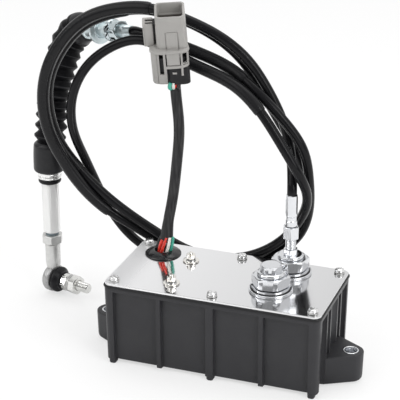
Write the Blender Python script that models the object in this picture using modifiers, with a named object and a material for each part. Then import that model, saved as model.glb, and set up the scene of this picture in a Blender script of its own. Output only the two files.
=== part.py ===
"""Throttle motor: a moulded gearbox housing with a polished lid, two cable
outlets, one coiled control cable to a bellows rod end, and a wiring tail.
Metres, +Z up, feet on z = 0, origin under the middle of the lid."""

import math

import bmesh
import bpy
import numpy as np
from mathutils import Matrix, Vector

mm = 0.001
clearance = 0.3 * mm

# Lid, gasket and housing.
lid_length = 178.4 * mm
lid_width = 88.4 * mm
lid_thickness = 2 * mm
lid_corner_radius = 6 * mm
lid_top_height = 72 * mm
gasket_thickness = 1.2 * mm
gasket_overhang = 0.9 * mm
gasket_band = 5.5 * mm
foot_height = 3 * mm
foot_length = 5.6 * mm
foot_width = 3.2 * mm
foot_spacing = lid_length / 2 - 3.2 * mm
foot_row = lid_width / 2 - 2 * mm
housing_overhang = 0.1 * mm
housing_corner_radius = 5 * mm
housing_draft = 1 * mm
wall_thickness = 6.5 * mm
floor_thickness = 3 * mm
rim_band_height = 3.6 * mm
panel_depth = 3.5 * mm
corner_column_width = 8.3 * mm
centre_column_width = 6.3 * mm
thin_rib_width = 3.3 * mm
thin_rib_spacing = 42.5 * mm
side_rib_spacing = 19.5 * mm
side_rib_width = 2.4 * mm
channel_radius = 10.5 * mm
channel_depth = 4.2 * mm
channel_border = 2.6 * mm

# Fixing ears and their sleeves.
ear_bottom = 1 * mm
ear_height = 24 * mm
ear_centre_distance = lid_length / 2 + 14.1 * mm
ear_tip_radius = 10.4 * mm
ear_root_half_width = 21 * mm
ear_draft = 0.5 * mm
bushing_outer_radius = 6.5 * mm
bushing_bore_radius = 5 * mm
bushing_height = 25.2 * mm

# Screws of the lid.
screw_end_distance = lid_length / 2 - 7.2 * mm
screw_end_row = lid_width / 2 - 6.7 * mm
screw_middle_row = lid_width / 2 - 7.7 * mm
screw_head_radius = 3.9 * mm
screw_head_height = 2.4 * mm
screw_washer_radius = 4.3 * mm
screw_washer_height = 0.9 * mm
screw_shank_radius = 2 * mm
screw_shank_length = 15 * mm
screw_slot_width = 1.1 * mm
screw_slot_depth = 1.1 * mm
boss_radius = 5.2 * mm
boss_height = 17 * mm
motor_screw_x = -37.5 * mm
motor_screw_rows = (-26.5 * mm, 17.5 * mm)
motor_washer_radius = 6.75 * mm
motor_washer_height = 1.2 * mm
motor_screw_head_radius = 4 * mm
motor_screw_head_height = 2.8 * mm
motor_screw_shank_radius = 1.7 * mm

# Wire grommet.
grommet_centre = (-64.3 * mm, 23.7 * mm)
grommet_radius = 15 * mm
grommet_height = 3.6 * mm
grommet_neck_radius = 12 * mm
grommet_hole_radius = 4.6 * mm
grommet_lower_radius = 14 * mm
grommet_lower_height = 2.2 * mm

# Cable outlets.
front_gland = (39.6 * mm, -10.4 * mm)
rear_gland = (44.4 * mm, 25.6 * mm)
gland_large_washer_radius = 17.3 * mm
gland_large_washer_height = 2.1 * mm
gland_small_washer_radius = 15.7 * mm
gland_small_washer_height = 1.9 * mm
gland_spigot_radius = 8 * mm
gland_bore_radius = 5.4 * mm
gland_depth_below_lid = 6 * mm
gland_nut_across_flats = 27 * mm
gland_nut_height = 8.9 * mm
plug_flange_radius = 11.2 * mm
plug_flange_height = 3 * mm
plug_head_across_flats = 15 * mm
plug_head_height = 5.2 * mm
plug_shank_length = 9 * mm
collar_radius = 10.5 * mm
collar_height = 2.7 * mm
tube_radius = 4.3 * mm
tube_bore_radius = 1.6 * mm
tube_top_above_lid = 36 * mm
jam_nut_bottom_above_lid = 31 * mm
jam_nut_height = 9.2 * mm
jam_nut_across_flats = 12 * mm
ferrule_bottom_above_lid = 40.5 * mm
ferrule_top_above_lid = 67.5 * mm
ferrule_radius = 4.65 * mm

# Gear train. Each place is given as (y, z) of an axis that runs along x.
gear_module = 1 * mm
pressure_angle = math.radians(20)
pinion_teeth = 12
idler_large_teeth = 30
idler_small_teeth = 12
output_teeth = 40
gear_running_clearance = 0.15 * mm
backlash = 0.12 * mm
motor_axis = (-4.5 * mm, 47 * mm)
output_axis = (7.6 * mm, 34 * mm)
first_stage_x = (-8 * mm, -2 * mm)
second_stage_x = (2 * mm, 9 * mm)
motor_can_radius = 17 * mm
motor_can_length = 56.7 * mm
motor_shaft_radius = 1.5 * mm
motor_plate_x = (-13 * mm, -10 * mm)
middle_plate_x = (13 * mm, 16 * mm)
end_plate_x = (56 * mm, 59 * mm)
frame_base_x = (-72 * mm, 60 * mm)
frame_base_half_width = 31 * mm
frame_base_height = 3 * mm
frame_plate_top = 50 * mm
frame_post_radius = 4 * mm
idler_axle_radius = 2 * mm
idler_hub_radius = 5 * mm
output_shaft_radius = 4 * mm
output_shaft_x = (0.3 * mm, 62 * mm)
drum_x = (36.6 * mm, 47.4 * mm)
drum_radius = 20 * mm
drum_pitch_radius = rear_gland[1] - output_axis[0]
drum_groove_width = 2.8 * mm
drum_wire_radius = 0.8 * mm
sensor_size = (10 * mm, 22 * mm, 24 * mm)
sensor_hole_depth = 3.3 * mm
board_x = (-60 * mm, 60 * mm)
board_y = (29.2 * mm, 30.8 * mm)
board_height = 52 * mm

# Control cable, its end hub, bellows and rod end.
cable_diameter = 7.9 * mm
cable_points = 86
hub_start = Vector((-100.3, 53, 250.1)) * mm
hub_end = Vector((-152.1, 80, 238.7)) * mm
boot_end = Vector((-183.5, 61, 115.5)) * mm
rod_axis = (-183.5 * mm, 61 * mm)
hub_thread_radius = 5 * mm
hub_disc_radius = 11.3 * mm
hub_disc_thickness = 3 * mm
hub_neck_radius = 6.5 * mm
hub_neck_length = 19 * mm
hub_seat_radius = 9.8 * mm
hub_wide_nut_across_flats = 18.6 * mm
hub_wide_nut_place = (18 * mm, 21.6 * mm)
hub_slim_nut_across_flats = 13 * mm
hub_slim_nut_place = (9 * mm, 17.7 * mm)
boot_top_radius = 16 * mm
boot_bottom_radius = 13.8 * mm
boot_groove_depth = 2.6 * mm
boot_convolutions = 11
boot_cuff_radius = 13.4 * mm
boot_cuff_length = 26 * mm
boot_wall = 1.8 * mm
inner_rod_radius = 2 * mm
inner_rod_top = 148 * mm
ring_radius = 10 * mm
ring_height = 6.2 * mm
seal_radius = 9.8 * mm
seal_height = 4 * mm
coupling_across_flats = 13 * mm
coupling_height = 47.2 * mm
lock_nut_across_flats = 15.2 * mm
lock_nut_height = 9.7 * mm
shank_radius = 6.2 * mm
shank_bottom = 22 * mm
eye_height = 13 * mm
eye_radius = 12 * mm
eye_half_thickness = 3.2 * mm
ball_radius = 7.2 * mm
stud_direction = Vector((0.962, -0.274, 0)).normalized()
cap_start = 5 * mm
cap_end = 17 * mm
cap_radius = 11.4 * mm
cap_lip_radius = 8.1 * mm
stud_neck_radius = 3.6 * mm
stud_hex = (17.5 * mm, 23.5 * mm)
stud_hex_across_flats = 13 * mm
stud_nut_place = (24.5 * mm, 33.5 * mm)
stud_nut_across_flats = 15.6 * mm
stud_thread_radius = 4.4 * mm
stud_length = 43.5 * mm

# Wiring tail and its connector.
loom_diameter = 8.7 * mm
wire_diameter = 2.4 * mm
connector_base = Vector((-51.4, 20, 229.3)) * mm
connector_direction = Vector((0.09, -0.39, 0.92)).normalized()
connector_right = Vector((0.927, 0.376, 0))
connector_body_size = (23.2 * mm, 19.8 * mm)
connector_mouth_size = (19.2 * mm, 15.8 * mm)
connector_mouth_depth = 25 * mm
connector_length = 65 * mm
connector_flange = (28 * mm, 33.5 * mm)
connector_cage_left = 17.1 * mm
connector_cage_right = 13.1 * mm
connector_cage_half_depth = 11.6 * mm
connector_cage_wall = 1.7 * mm
latch_left = -21.3 * mm
latch_width = 7.1 * mm
latch_half_depth = 4.3 * mm
latch_top = 55.6 * mm
latch_slot_depth = 7 * mm

for old in list(bpy.data.objects):
    bpy.data.objects.remove(old)

motor = bpy.data.collections.new("throttle_motor")
helpers = bpy.data.collections.new("cutting_helpers")
bpy.context.scene.collection.children.link(motor)
bpy.context.scene.collection.children.link(helpers)

finishes = {
    "moulded_plastic": ((0.052, 0.052, 0.056), 0.0, 0.5),
    "polished_steel": ((0.62, 0.62, 0.63), 1.0, 0.12),
    "zinc": ((0.56, 0.58, 0.6), 1.0, 0.3),
    "yellow_zinc": ((0.6, 0.52, 0.36), 1.0, 0.35),
    "black_rubber": ((0.02, 0.02, 0.021), 0.0, 0.4),
    "black_cable": ((0.012, 0.012, 0.013), 0.0, 0.22),
    "gray_plastic": ((0.36, 0.355, 0.345), 0.0, 0.45),
    "black_plastic": ((0.02, 0.02, 0.021), 0.0, 0.45),
    "brass": ((0.6, 0.43, 0.18), 1.0, 0.35),
    "white_acetal": ((0.75, 0.74, 0.7), 0.0, 0.4),
    "green_board": ((0.03, 0.17, 0.07), 0.0, 0.4),
    "red_wire": ((0.55, 0.04, 0.03), 0.0, 0.4),
    "white_wire": ((0.75, 0.75, 0.73), 0.0, 0.4),
    "green_wire": ((0.05, 0.3, 0.12), 0.0, 0.4),
}


def give_material(obj, finish):
    """Each object gets a material of its own, named for it."""
    color, metallic, roughness = finishes[finish]
    made = bpy.data.materials.new(obj.name + "_surface")
    made.use_nodes = True
    shader = made.node_tree.nodes["Principled BSDF"]
    shader.inputs["Base Color"].default_value = (*color, 1)
    shader.inputs["Metallic"].default_value = metallic
    shader.inputs["Roughness"].default_value = roughness
    made.diffuse_color = (*color, 1)
    obj.data.materials.clear()
    obj.data.materials.append(made)


def frame_along(origin, direction, right=None):
    """A placing matrix whose local Z runs along the direction."""
    up = Vector(direction).normalized()
    side = Vector(right) if right else up.orthogonal()
    side = (side - side.dot(up) * up).normalized()
    back = up.cross(side)
    made = Matrix((side, back, up)).transposed().to_4x4()
    made.translation = Vector(origin)
    return made


def along_x(axis, x):
    """Local Z runs along world X, local X along world Y."""
    return frame_along((x, axis[0], axis[1]), (1, 0, 0), (0, 1, 0))


def linked(name, data, helper=False):
    obj = bpy.data.objects.new(name, data)
    (helpers if helper else motor).objects.link(obj)
    if helper:
        obj.hide_render = True
        obj.display_type = "WIRE"
    return obj


def from_bmesh(name, bm, helper=False):
    bmesh.ops.recalc_face_normals(bm, faces=bm.faces)
    mesh = bpy.data.meshes.new(name)
    bm.to_mesh(mesh)
    bm.free()
    return linked(name, mesh, helper)


def prism(name, outline, low, high, low_inset=0.0, helper=False):
    """An upright prism. The lower outline may be drawn in by an inset."""
    bm = bmesh.new()
    centre = sum((Vector(p) for p in outline), Vector((0, 0))) / len(outline)
    lower = []
    for p in outline:
        offset = Vector(p) - centre
        shift = offset.normalized() * low_inset if offset.length else offset
        lower.append(bm.verts.new((p[0] - shift.x, p[1] - shift.y, low)))
    upper = [bm.verts.new((p[0], p[1], high)) for p in outline]
    bm.faces.new(lower)
    bm.faces.new(upper)
    for i in range(len(outline)):
        j = (i + 1) % len(outline)
        bm.faces.new((lower[i], lower[j], upper[j], upper[i]))
    return from_bmesh(name, bm, helper)


def boxes(name, ranges, helper=False):
    """One object of separate boxes, each given by its three ranges."""
    bm = bmesh.new()
    for xs, ys, zs in ranges:
        made = bmesh.ops.create_cube(bm, size=1)["verts"]
        size = (xs[1] - xs[0], ys[1] - ys[0], zs[1] - zs[0])
        middle = (sum(xs) / 2, sum(ys) / 2, sum(zs) / 2)
        bmesh.ops.scale(bm, vec=size, verts=made)
        bmesh.ops.translate(bm, vec=middle, verts=made)
    return from_bmesh(name, bm, helper)


def discs(name, places, radius, low, high, sides=14, helper=False):
    """One object of separate upright cylinders."""
    bm = bmesh.new()
    for x, y in places:
        bmesh.ops.create_cone(
            bm,
            cap_ends=True,
            segments=sides,
            radius1=radius,
            radius2=radius,
            depth=high - low,
            matrix=Matrix.Translation((x, y, (low + high) / 2)),
        )
    return from_bmesh(name, bm, helper)


def rounded_rectangle(half_x, half_y, radius, steps=3):
    points = []
    for corner in range(4):
        sign_x = (1, -1, -1, 1)[corner]
        sign_y = (1, 1, -1, -1)[corner]
        for step in range(steps + 1):
            angle = math.pi / 2 * (corner + step / steps)
            points.append(
                (
                    sign_x * (half_x - radius) + radius * math.cos(angle),
                    sign_y * (half_y - radius) + radius * math.sin(angle),
                )
            )
    return points


def hexagon(across_flats):
    radius = across_flats / math.sqrt(3)
    return [
        (radius * math.cos(math.pi / 3 * i), radius * math.sin(math.pi / 3 * i))
        for i in range(6)
    ]


def turned(name, profile, matrix=None, steps=20, closed=False, helper=False):
    """A profile of (radius, height) turned about local Z by a Screw."""
    mesh = bpy.data.meshes.new(name)
    edges = [(i, i + 1) for i in range(len(profile) - 1)]
    if closed:
        edges.append((len(profile) - 1, 0))
    mesh.from_pydata([(r, 0, z) for r, z in profile], edges, [])
    obj = linked(name, mesh, helper)
    screw = obj.modifiers.new("turn", "SCREW")
    screw.axis = "Z"
    screw.steps = steps
    screw.render_steps = steps
    screw.use_merge_vertices = True
    screw.merge_threshold = 0.00001
    if matrix:
        obj.matrix_world = matrix
    return obj


def combine(obj, other, operation):
    step = obj.modifiers.new(operation.lower(), "BOOLEAN")
    step.operation = operation
    step.solver = "EXACT"
    step.object = other
    other.hide_render = True
    other.display_type = "WIRE"


def finish_piece(obj, finish, sharp_angle=32):
    """Applies the modifiers, removes the helpers they used, shades and colours."""
    used = [m.object for m in obj.modifiers if m.type == "BOOLEAN"]
    bpy.context.view_layer.update()
    graph = bpy.context.evaluated_depsgraph_get()
    mesh = bpy.data.meshes.new_from_object(obj.evaluated_get(graph), depsgraph=graph)
    obj.modifiers.clear()
    obj.data = mesh
    mesh.name = obj.name
    mesh.shade_smooth()
    mesh.set_sharp_from_angle(angle=math.radians(sharp_angle))
    for helper in used:
        bpy.data.objects.remove(helper)
    give_material(obj, finish)
    return obj


def hex_nut(name, finish, across_flats, bore_radius, low, high, matrix=None):
    """A hexagon with turned chamfers and a bore, made as one intersection."""
    corner = across_flats / math.sqrt(3)
    chamfer = 0.07 * across_flats
    obj = prism(name, hexagon(across_flats), low - mm, high + mm)
    profile = [
        (bore_radius, high),
        (corner - chamfer, high),
        (corner + 0.05 * mm, high - chamfer * 0.55),
        (corner + 0.05 * mm, low + chamfer * 0.55),
        (corner - chamfer, low),
        (bore_radius, low),
    ]
    if not bore_radius:
        cutter = turned(name + "_form", profile, steps=18, helper=True)
    else:
        cutter = turned(name + "_form", profile, steps=18, closed=True, helper=True)
    combine(obj, cutter, "INTERSECT")
    finish_piece(obj, finish)
    if matrix:
        obj.matrix_world = matrix
    return obj


def smooth_path(points, count):
    """A natural cubic curve through the points, read at even lengths."""
    p = np.array(points, float)
    t = np.r_[0, np.cumsum(np.linalg.norm(np.diff(p, axis=0), axis=1))]
    n = len(p)
    h = np.diff(t)
    a = np.eye(n)
    b = np.zeros((n, 3))
    for i in range(1, n - 1):
        a[i, i - 1] = h[i - 1]
        a[i, i] = 2 * (h[i - 1] + h[i])
        a[i, i + 1] = h[i]
        b[i] = 6 * ((p[i + 1] - p[i]) / h[i] - (p[i] - p[i - 1]) / h[i - 1])
    bend = np.linalg.solve(a, b)
    at = np.linspace(0, t[-1], count)
    k = np.clip(np.searchsorted(t, at, side="right") - 1, 0, n - 2)
    left = (t[k + 1] - at)[:, None]
    right = (at - t[k])[:, None]
    step = h[k][:, None]
    curve = (bend[k] * left**3 + bend[k + 1] * right**3) / (6 * step)
    curve += (p[k] / step - bend[k] * step / 6) * left
    curve += (p[k + 1] / step - bend[k + 1] * step / 6) * right
    return [Vector(q) for q in curve]


def tube(name, finish, path, radius, resolution=2):
    data = bpy.data.curves.new(name, "CURVE")
    data.dimensions = "3D"
    data.bevel_depth = radius
    data.bevel_resolution = resolution
    data.use_fill_caps = True
    spline = data.splines.new("POLY")
    spline.points.add(len(path) - 1)
    for point, place in zip(spline.points, path):
        point.co = (*place, 1)
    obj = linked(name, data)
    give_material(obj, finish)
    return obj


def gear_outline(teeth, module, phase):
    """Involute teeth, one of them centred on the phase angle."""
    pitch = teeth * module / 2
    base = pitch * math.cos(pressure_angle)
    tip = pitch + module
    root = pitch - 1.2 * module
    spread = math.tan(pressure_angle) - pressure_angle
    half_tooth = math.pi / (2 * teeth) + spread - backlash / (2 * pitch)
    start = max(base, root + 0.1 * module)
    flank = []
    for step in range(3):
        radius = start + (tip - start) * step / 2
        roll = math.sqrt(max((radius / base) ** 2 - 1, 0))
        flank.append((radius, half_tooth - (roll - math.atan(roll))))
    points = []
    for tooth in range(teeth):
        middle = phase + 2 * math.pi * tooth / teeth
        ring = [(root, -flank[0][1])]
        ring += [(radius, -angle) for radius, angle in flank]
        ring += [(radius, angle) for radius, angle in reversed(flank)]
        ring += [(root, flank[0][1])]
        for radius, angle in ring:
            points.append(
                (radius * math.cos(middle + angle), radius * math.sin(middle + angle))
            )
    return points


# Heights that follow from the sizes above.
lid_bottom = lid_top_height - lid_thickness
gasket_top = lid_bottom - clearance
gasket_bottom = gasket_top - gasket_thickness
housing_top = gasket_bottom - clearance
housing_bottom = foot_height
floor_top = housing_bottom + floor_thickness
outer_x = lid_length / 2 + housing_overhang
outer_y = lid_width / 2 + housing_overhang
inner_x = outer_x - wall_thickness
inner_y = outer_y - wall_thickness
washer_bottom = lid_top_height + clearance

lid_screw_places = [
    (-screw_end_distance, -screw_end_row),
    (0.0, -screw_middle_row),
    (screw_end_distance, -screw_end_row),
    (-screw_end_distance, screw_end_row),
    (0.0, screw_middle_row),
    (screw_end_distance, screw_end_row),
]
motor_screw_places = [(motor_screw_x, row) for row in motor_screw_rows]

# Housing: a drafted shell, its panels, ears, feet and bosses.
housing = prism(
    "housing",
    rounded_rectangle(outer_x, outer_y, housing_corner_radius),
    housing_bottom,
    housing_top,
    low_inset=housing_draft,
)
cavity = prism(
    "cavity",
    rounded_rectangle(inner_x, inner_y, housing_corner_radius),
    floor_top,
    housing_top + 5 * mm,
    helper=True,
)
combine(housing, cavity, "DIFFERENCE")

panel_heights = (housing_bottom - 5 * mm, housing_top - rim_band_height)
column_edge = outer_x - corner_column_width
columns = (
    (-column_edge, -thin_rib_spacing - thin_rib_width / 2),
    (-thin_rib_spacing + thin_rib_width / 2, -centre_column_width / 2),
    (centre_column_width / 2, thin_rib_spacing - thin_rib_width / 2),
    (thin_rib_spacing + thin_rib_width / 2, column_edge),
)
channel_half_width = math.sqrt(
    channel_radius**2 - (channel_radius - channel_depth) ** 2
)
side_edge = outer_y - corner_column_width
side_panels = (
    (-side_edge, -side_rib_spacing - side_rib_width / 2),
    (
        -side_rib_spacing + side_rib_width / 2,
        -channel_half_width - channel_border,
    ),
    (channel_half_width + channel_border, side_rib_spacing - side_rib_width / 2),
    (side_rib_spacing + side_rib_width / 2, side_edge),
)
recesses = []
for sign in (-1, 1):
    y_range = sorted((sign * (outer_y - panel_depth), sign * (outer_y + 5 * mm)))
    x_range = sorted((sign * (outer_x - panel_depth), sign * (outer_x + 5 * mm)))
    recesses += [(span, y_range, panel_heights) for span in columns]
    recesses += [(x_range, span, panel_heights) for span in side_panels]
combine(housing, boxes("panels", recesses, helper=True), "DIFFERENCE")

channels = discs(
    "channels",
    [
        (-outer_x - channel_radius + channel_depth, 0),
        (outer_x + channel_radius - channel_depth, 0),
    ],
    channel_radius,
    ear_bottom,
    housing_top - rim_band_height,
    sides=30,
    helper=True,
)
combine(housing, channels, "DIFFERENCE")

bosses = discs(
    "bosses",
    lid_screw_places,
    boss_radius,
    housing_top - boss_height,
    housing_top,
    helper=True,
)
combine(housing, bosses, "UNION")
screw_holes = discs(
    "screw_holes",
    lid_screw_places,
    screw_shank_radius + clearance,
    housing_top - boss_height + 2 * mm,
    housing_top + 5 * mm,
    sides=12,
    helper=True,
)
combine(housing, screw_holes, "DIFFERENCE")

foot_places = [
    (x, y)
    for x in (-foot_spacing + foot_length / 2, 0.0, foot_spacing - foot_length / 2)
    for y in (-foot_row + foot_width, foot_row - foot_width)
]
feet = boxes(
    "feet",
    [
        (
            (x - foot_length / 2, x + foot_length / 2),
            (y - foot_width, y + foot_width),
            (0.0, housing_bottom + mm),
        )
        for x, y in foot_places
    ],
    helper=True,
)
combine(housing, feet, "UNION")

ear_top = ear_bottom + ear_height
root_x = outer_x - 1.5 * mm
run = ear_centre_distance - root_x
reach = math.hypot(run, ear_root_half_width)
ear_turn = math.atan2(ear_root_half_width, run) - math.asin(ear_tip_radius / reach)
ear_outline = [(root_x - 5 * mm, -ear_root_half_width)]
ear_outline.append((root_x, -ear_root_half_width))
for step in range(13):
    angle = (ear_turn - math.pi / 2) + (math.pi - 2 * ear_turn) * step / 12
    ear_outline.append(
        (
            ear_centre_distance + ear_tip_radius * math.cos(angle),
            ear_tip_radius * math.sin(angle),
        )
    )
ear_outline.append((root_x, ear_root_half_width))
ear_outline.append((root_x - 5 * mm, ear_root_half_width))
for side, sign in (("left", -1), ("right", 1)):
    outline = [(sign * x, y) for x, y in ear_outline]
    ear = prism(
        "ear_form_" + side,
        outline[::sign],
        ear_bottom,
        ear_top,
        low_inset=ear_draft,
        helper=True,
    )
    combine(housing, ear, "UNION")
bushing_places = [(-ear_centre_distance, 0.0), (ear_centre_distance, 0.0)]
bores = discs(
    "bushing_bores",
    bushing_places,
    bushing_outer_radius + clearance,
    ear_bottom - mm,
    ear_top + mm,
    sides=24,
    helper=True,
)
combine(housing, bores, "DIFFERENCE")
finish_piece(housing, "moulded_plastic", 28)

for side, place in zip(("left", "right"), bushing_places):
    bushing = turned(
        "ear_bushing_" + side,
        [
            (bushing_bore_radius, bushing_height),
            (bushing_outer_radius, bushing_height),
            (bushing_outer_radius, 0),
            (bushing_bore_radius, 0),
        ],
        Matrix.Translation((place[0], place[1], 0)),
        steps=24,
        closed=True,
    )
    finish_piece(bushing, "zinc")

# Gasket and lid plate with every hole that passes through it.
gasket = prism(
    "lid_gasket",
    rounded_rectangle(
        outer_x + gasket_overhang,
        outer_y + gasket_overhang,
        housing_corner_radius + gasket_overhang,
    ),
    gasket_bottom,
    gasket_top,
)
gasket_window = prism(
    "gasket_window",
    rounded_rectangle(
        outer_x + gasket_overhang - gasket_band,
        outer_y + gasket_overhang - gasket_band,
        2 * mm,
    ),
    gasket_bottom - mm,
    gasket_top + mm,
    helper=True,
)
combine(gasket, gasket_window, "DIFFERENCE")
gasket_eyes = discs(
    "gasket_eyes",
    lid_screw_places,
    boss_radius - 1 * mm,
    gasket_bottom,
    gasket_top,
    helper=True,
)
combine(gasket, gasket_eyes, "UNION")
gasket_holes = discs(
    "gasket_holes",
    lid_screw_places,
    screw_shank_radius + clearance,
    gasket_bottom - mm,
    gasket_top + mm,
    sides=12,
    helper=True,
)
combine(gasket, gasket_holes, "DIFFERENCE")
finish_piece(gasket, "black_rubber")

lid = prism(
    "lid_plate",
    rounded_rectangle(lid_length / 2, lid_width / 2, lid_corner_radius),
    lid_bottom,
    lid_top_height,
)
edge = lid.modifiers.new("edge", "BEVEL")
edge.width = 0.3 * mm
edge.segments = 1
edge.limit_method = "ANGLE"
edge.angle_limit = math.radians(60)
for name, places, radius, sides in (
    ("lid_screw_holes", lid_screw_places, screw_shank_radius + clearance, 12),
    ("motor_screw_holes", motor_screw_places, motor_screw_shank_radius + clearance, 12),
    ("gland_holes", [front_gland, rear_gland], gland_spigot_radius + clearance, 22),
    ("grommet_hole", [grommet_centre], grommet_neck_radius + clearance, 24),
):
    holes = discs(name, places, radius, lid_bottom - mm, washer_bottom, sides, True)
    combine(lid, holes, "DIFFERENCE")
finish_piece(lid, "polished_steel")

# Screws: head, washer land and shank turned in one, then slotted.
for number, place in enumerate(lid_screw_places, 1):
    seat = washer_bottom
    head = seat + screw_washer_height
    top = head + screw_head_height
    screw = turned(
        f"lid_screw_{number}",
        [
            (0, top),
            (screw_head_radius - 0.9 * mm, top),
            (screw_head_radius, top - 0.8 * mm),
            (screw_head_radius, head),
            (screw_washer_radius, head),
            (screw_washer_radius, seat),
            (screw_shank_radius, seat),
            (screw_shank_radius, seat - screw_shank_length),
            (0, seat - screw_shank_length),
        ],
        steps=14,
    )
    slot = boxes(
        "slot",
        [
            (
                (-screw_slot_width / 2, screw_slot_width / 2),
                (-screw_head_radius - mm, screw_head_radius + mm),
                (top - screw_slot_depth, top + mm),
            )
        ],
        helper=True,
    )
    combine(screw, slot, "DIFFERENCE")
    finish_piece(screw, "zinc")
    turn = Matrix.Rotation(math.radians(37 * number), 4, "Z")
    screw.matrix_world = Matrix.Translation((*place, 0)) @ turn

for side, place in zip(("front", "back"), motor_screw_places):
    washer_top = washer_bottom + motor_washer_height
    washer = turned(
        "motor_washer_" + side,
        [
            (motor_screw_shank_radius + clearance, washer_top),
            (motor_washer_radius - 0.3 * mm, washer_top),
            (motor_washer_radius, washer_top - 0.3 * mm),
            (motor_washer_radius, washer_bottom),
            (motor_screw_shank_radius + clearance, washer_bottom),
        ],
        Matrix.Translation((*place, 0)),
        steps=24,
        closed=True,
    )
    finish_piece(washer, "yellow_zinc")
    seat = washer_top + clearance
    top = seat + motor_screw_head_height
    screw = turned(
        "motor_screw_" + side,
        [
            (0, top),
            (motor_screw_head_radius - 1.2 * mm, top),
            (motor_screw_head_radius, top - 1.1 * mm),
            (motor_screw_head_radius, seat),
            (motor_screw_shank_radius, seat),
            (motor_screw_shank_radius, seat - screw_shank_length),
            (0, seat - screw_shank_length),
        ],
        steps=14,
    )
    slot = boxes(
        "slot",
        [
            (
                (-motor_screw_head_radius - mm, motor_screw_head_radius + mm),
                (-screw_slot_width / 2, screw_slot_width / 2),
                (top - screw_slot_depth, top + mm),
            )
        ],
        helper=True,
    )
    combine(screw, slot, "DIFFERENCE")
    finish_piece(screw, "yellow_zinc")
    screw.matrix_world = Matrix.Translation((*place, 0))

# Wire grommet, gripping both faces of the lid.
grommet_top = washer_bottom + grommet_height
grommet = turned(
    "wire_grommet",
    [
        (grommet_hole_radius, grommet_top),
        (grommet_hole_radius + 3 * mm, grommet_top),
        (grommet_radius - 3 * mm, grommet_top - 1.1 * mm),
        (grommet_radius - 0.6 * mm, grommet_top - 2.6 * mm),
        (grommet_radius, washer_bottom),
        (grommet_neck_radius, washer_bottom),
        (grommet_neck_radius, lid_bottom - clearance),
        (grommet_lower_radius, lid_bottom - clearance),
        (grommet_lower_radius, lid_bottom - clearance - grommet_lower_height),
        (grommet_hole_radius, lid_bottom - clearance - grommet_lower_height),
    ],
    Matrix.Translation((*grommet_centre, 0)),
    steps=24,
    closed=True,
)
finish_piece(grommet, "black_rubber")

# The two cable outlets: washers, hexagon bodies, plug and threaded collar.
small_washer_bottom = washer_bottom + gland_large_washer_height + clearance
nut_bottom = small_washer_bottom + gland_small_washer_height + clearance
nut_top = nut_bottom + gland_nut_height
for side, place in (("front", front_gland), ("rear", rear_gland)):
    for size, radius, low, height in (
        (
            "large",
            gland_large_washer_radius,
            washer_bottom,
            gland_large_washer_height,
        ),
        (
            "small",
            gland_small_washer_radius,
            small_washer_bottom,
            gland_small_washer_height,
        ),
    ):
        washer = turned(
            f"{side}_gland_washer_{size}",
            [
                (gland_spigot_radius + clearance, low + height),
                (radius - 0.4 * mm, low + height),
                (radius, low + height - 0.4 * mm),
                (radius, low),
                (gland_spigot_radius + clearance, low),
            ],
            Matrix.Translation((*place, 0)),
            steps=24,
            closed=True,
        )
        finish_piece(washer, "zinc")
    body = hex_nut(
        f"{side}_gland_body",
        "zinc",
        gland_nut_across_flats,
        gland_bore_radius,
        nut_bottom,
        nut_top,
    )
    spigot_bottom = lid_bottom - gland_depth_below_lid
    spigot = turned(
        "spigot",
        [
            (gland_bore_radius, nut_bottom + mm),
            (gland_spigot_radius, nut_bottom + mm),
            (gland_spigot_radius, spigot_bottom),
            (gland_bore_radius, spigot_bottom),
        ],
        steps=24,
        closed=True,
        helper=True,
    )
    combine(body, spigot, "UNION")
    finish_piece(body, "zinc")
    turn = Matrix.Rotation(math.radians(8), 4, "Z")
    body.matrix_world = Matrix.Translation((*place, 0)) @ turn

flange_bottom = nut_top + clearance
flange_top = flange_bottom + plug_flange_height
plug = hex_nut(
    "front_gland_plug",
    "zinc",
    plug_head_across_flats,
    0,
    flange_top - 1.5 * mm,
    flange_top + plug_head_height,
)
plug_flange = turned(
    "plug_flange",
    [
        (0, flange_top),
        (plug_flange_radius - 0.5 * mm, flange_top),
        (plug_flange_radius, flange_top - 0.5 * mm),
        (plug_flange_radius, flange_bottom),
        (gland_bore_radius - clearance, flange_bottom),
        (gland_bore_radius - clearance, flange_bottom - plug_shank_length),
        (0, flange_bottom - plug_shank_length),
    ],
    steps=20,
    helper=True,
)
combine(plug, plug_flange, "UNION")
finish_piece(plug, "zinc")
plug.matrix_world = Matrix.Translation((*front_gland, 0)) @ Matrix.Rotation(
    math.radians(20), 4, "Z"
)

collar_top = flange_bottom + collar_height
tube_top = lid_top_height + tube_top_above_lid
collar = turned(
    "rear_gland_collar",
    [
        (tube_bore_radius, tube_top),
        (tube_radius, tube_top),
        (tube_radius, collar_top + 1.2 * mm),
        (tube_radius + 2 * mm, collar_top),
        (collar_radius - 0.5 * mm, collar_top),
        (collar_radius, collar_top - 0.5 * mm),
        (collar_radius, flange_bottom),
        (gland_bore_radius - clearance, flange_bottom),
        (gland_bore_radius - clearance, flange_bottom - plug_shank_length),
        (tube_bore_radius, flange_bottom - plug_shank_length),
    ],
    Matrix.Translation((*rear_gland, 0)),
    steps=20,
    closed=True,
)
finish_piece(collar, "zinc")

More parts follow.
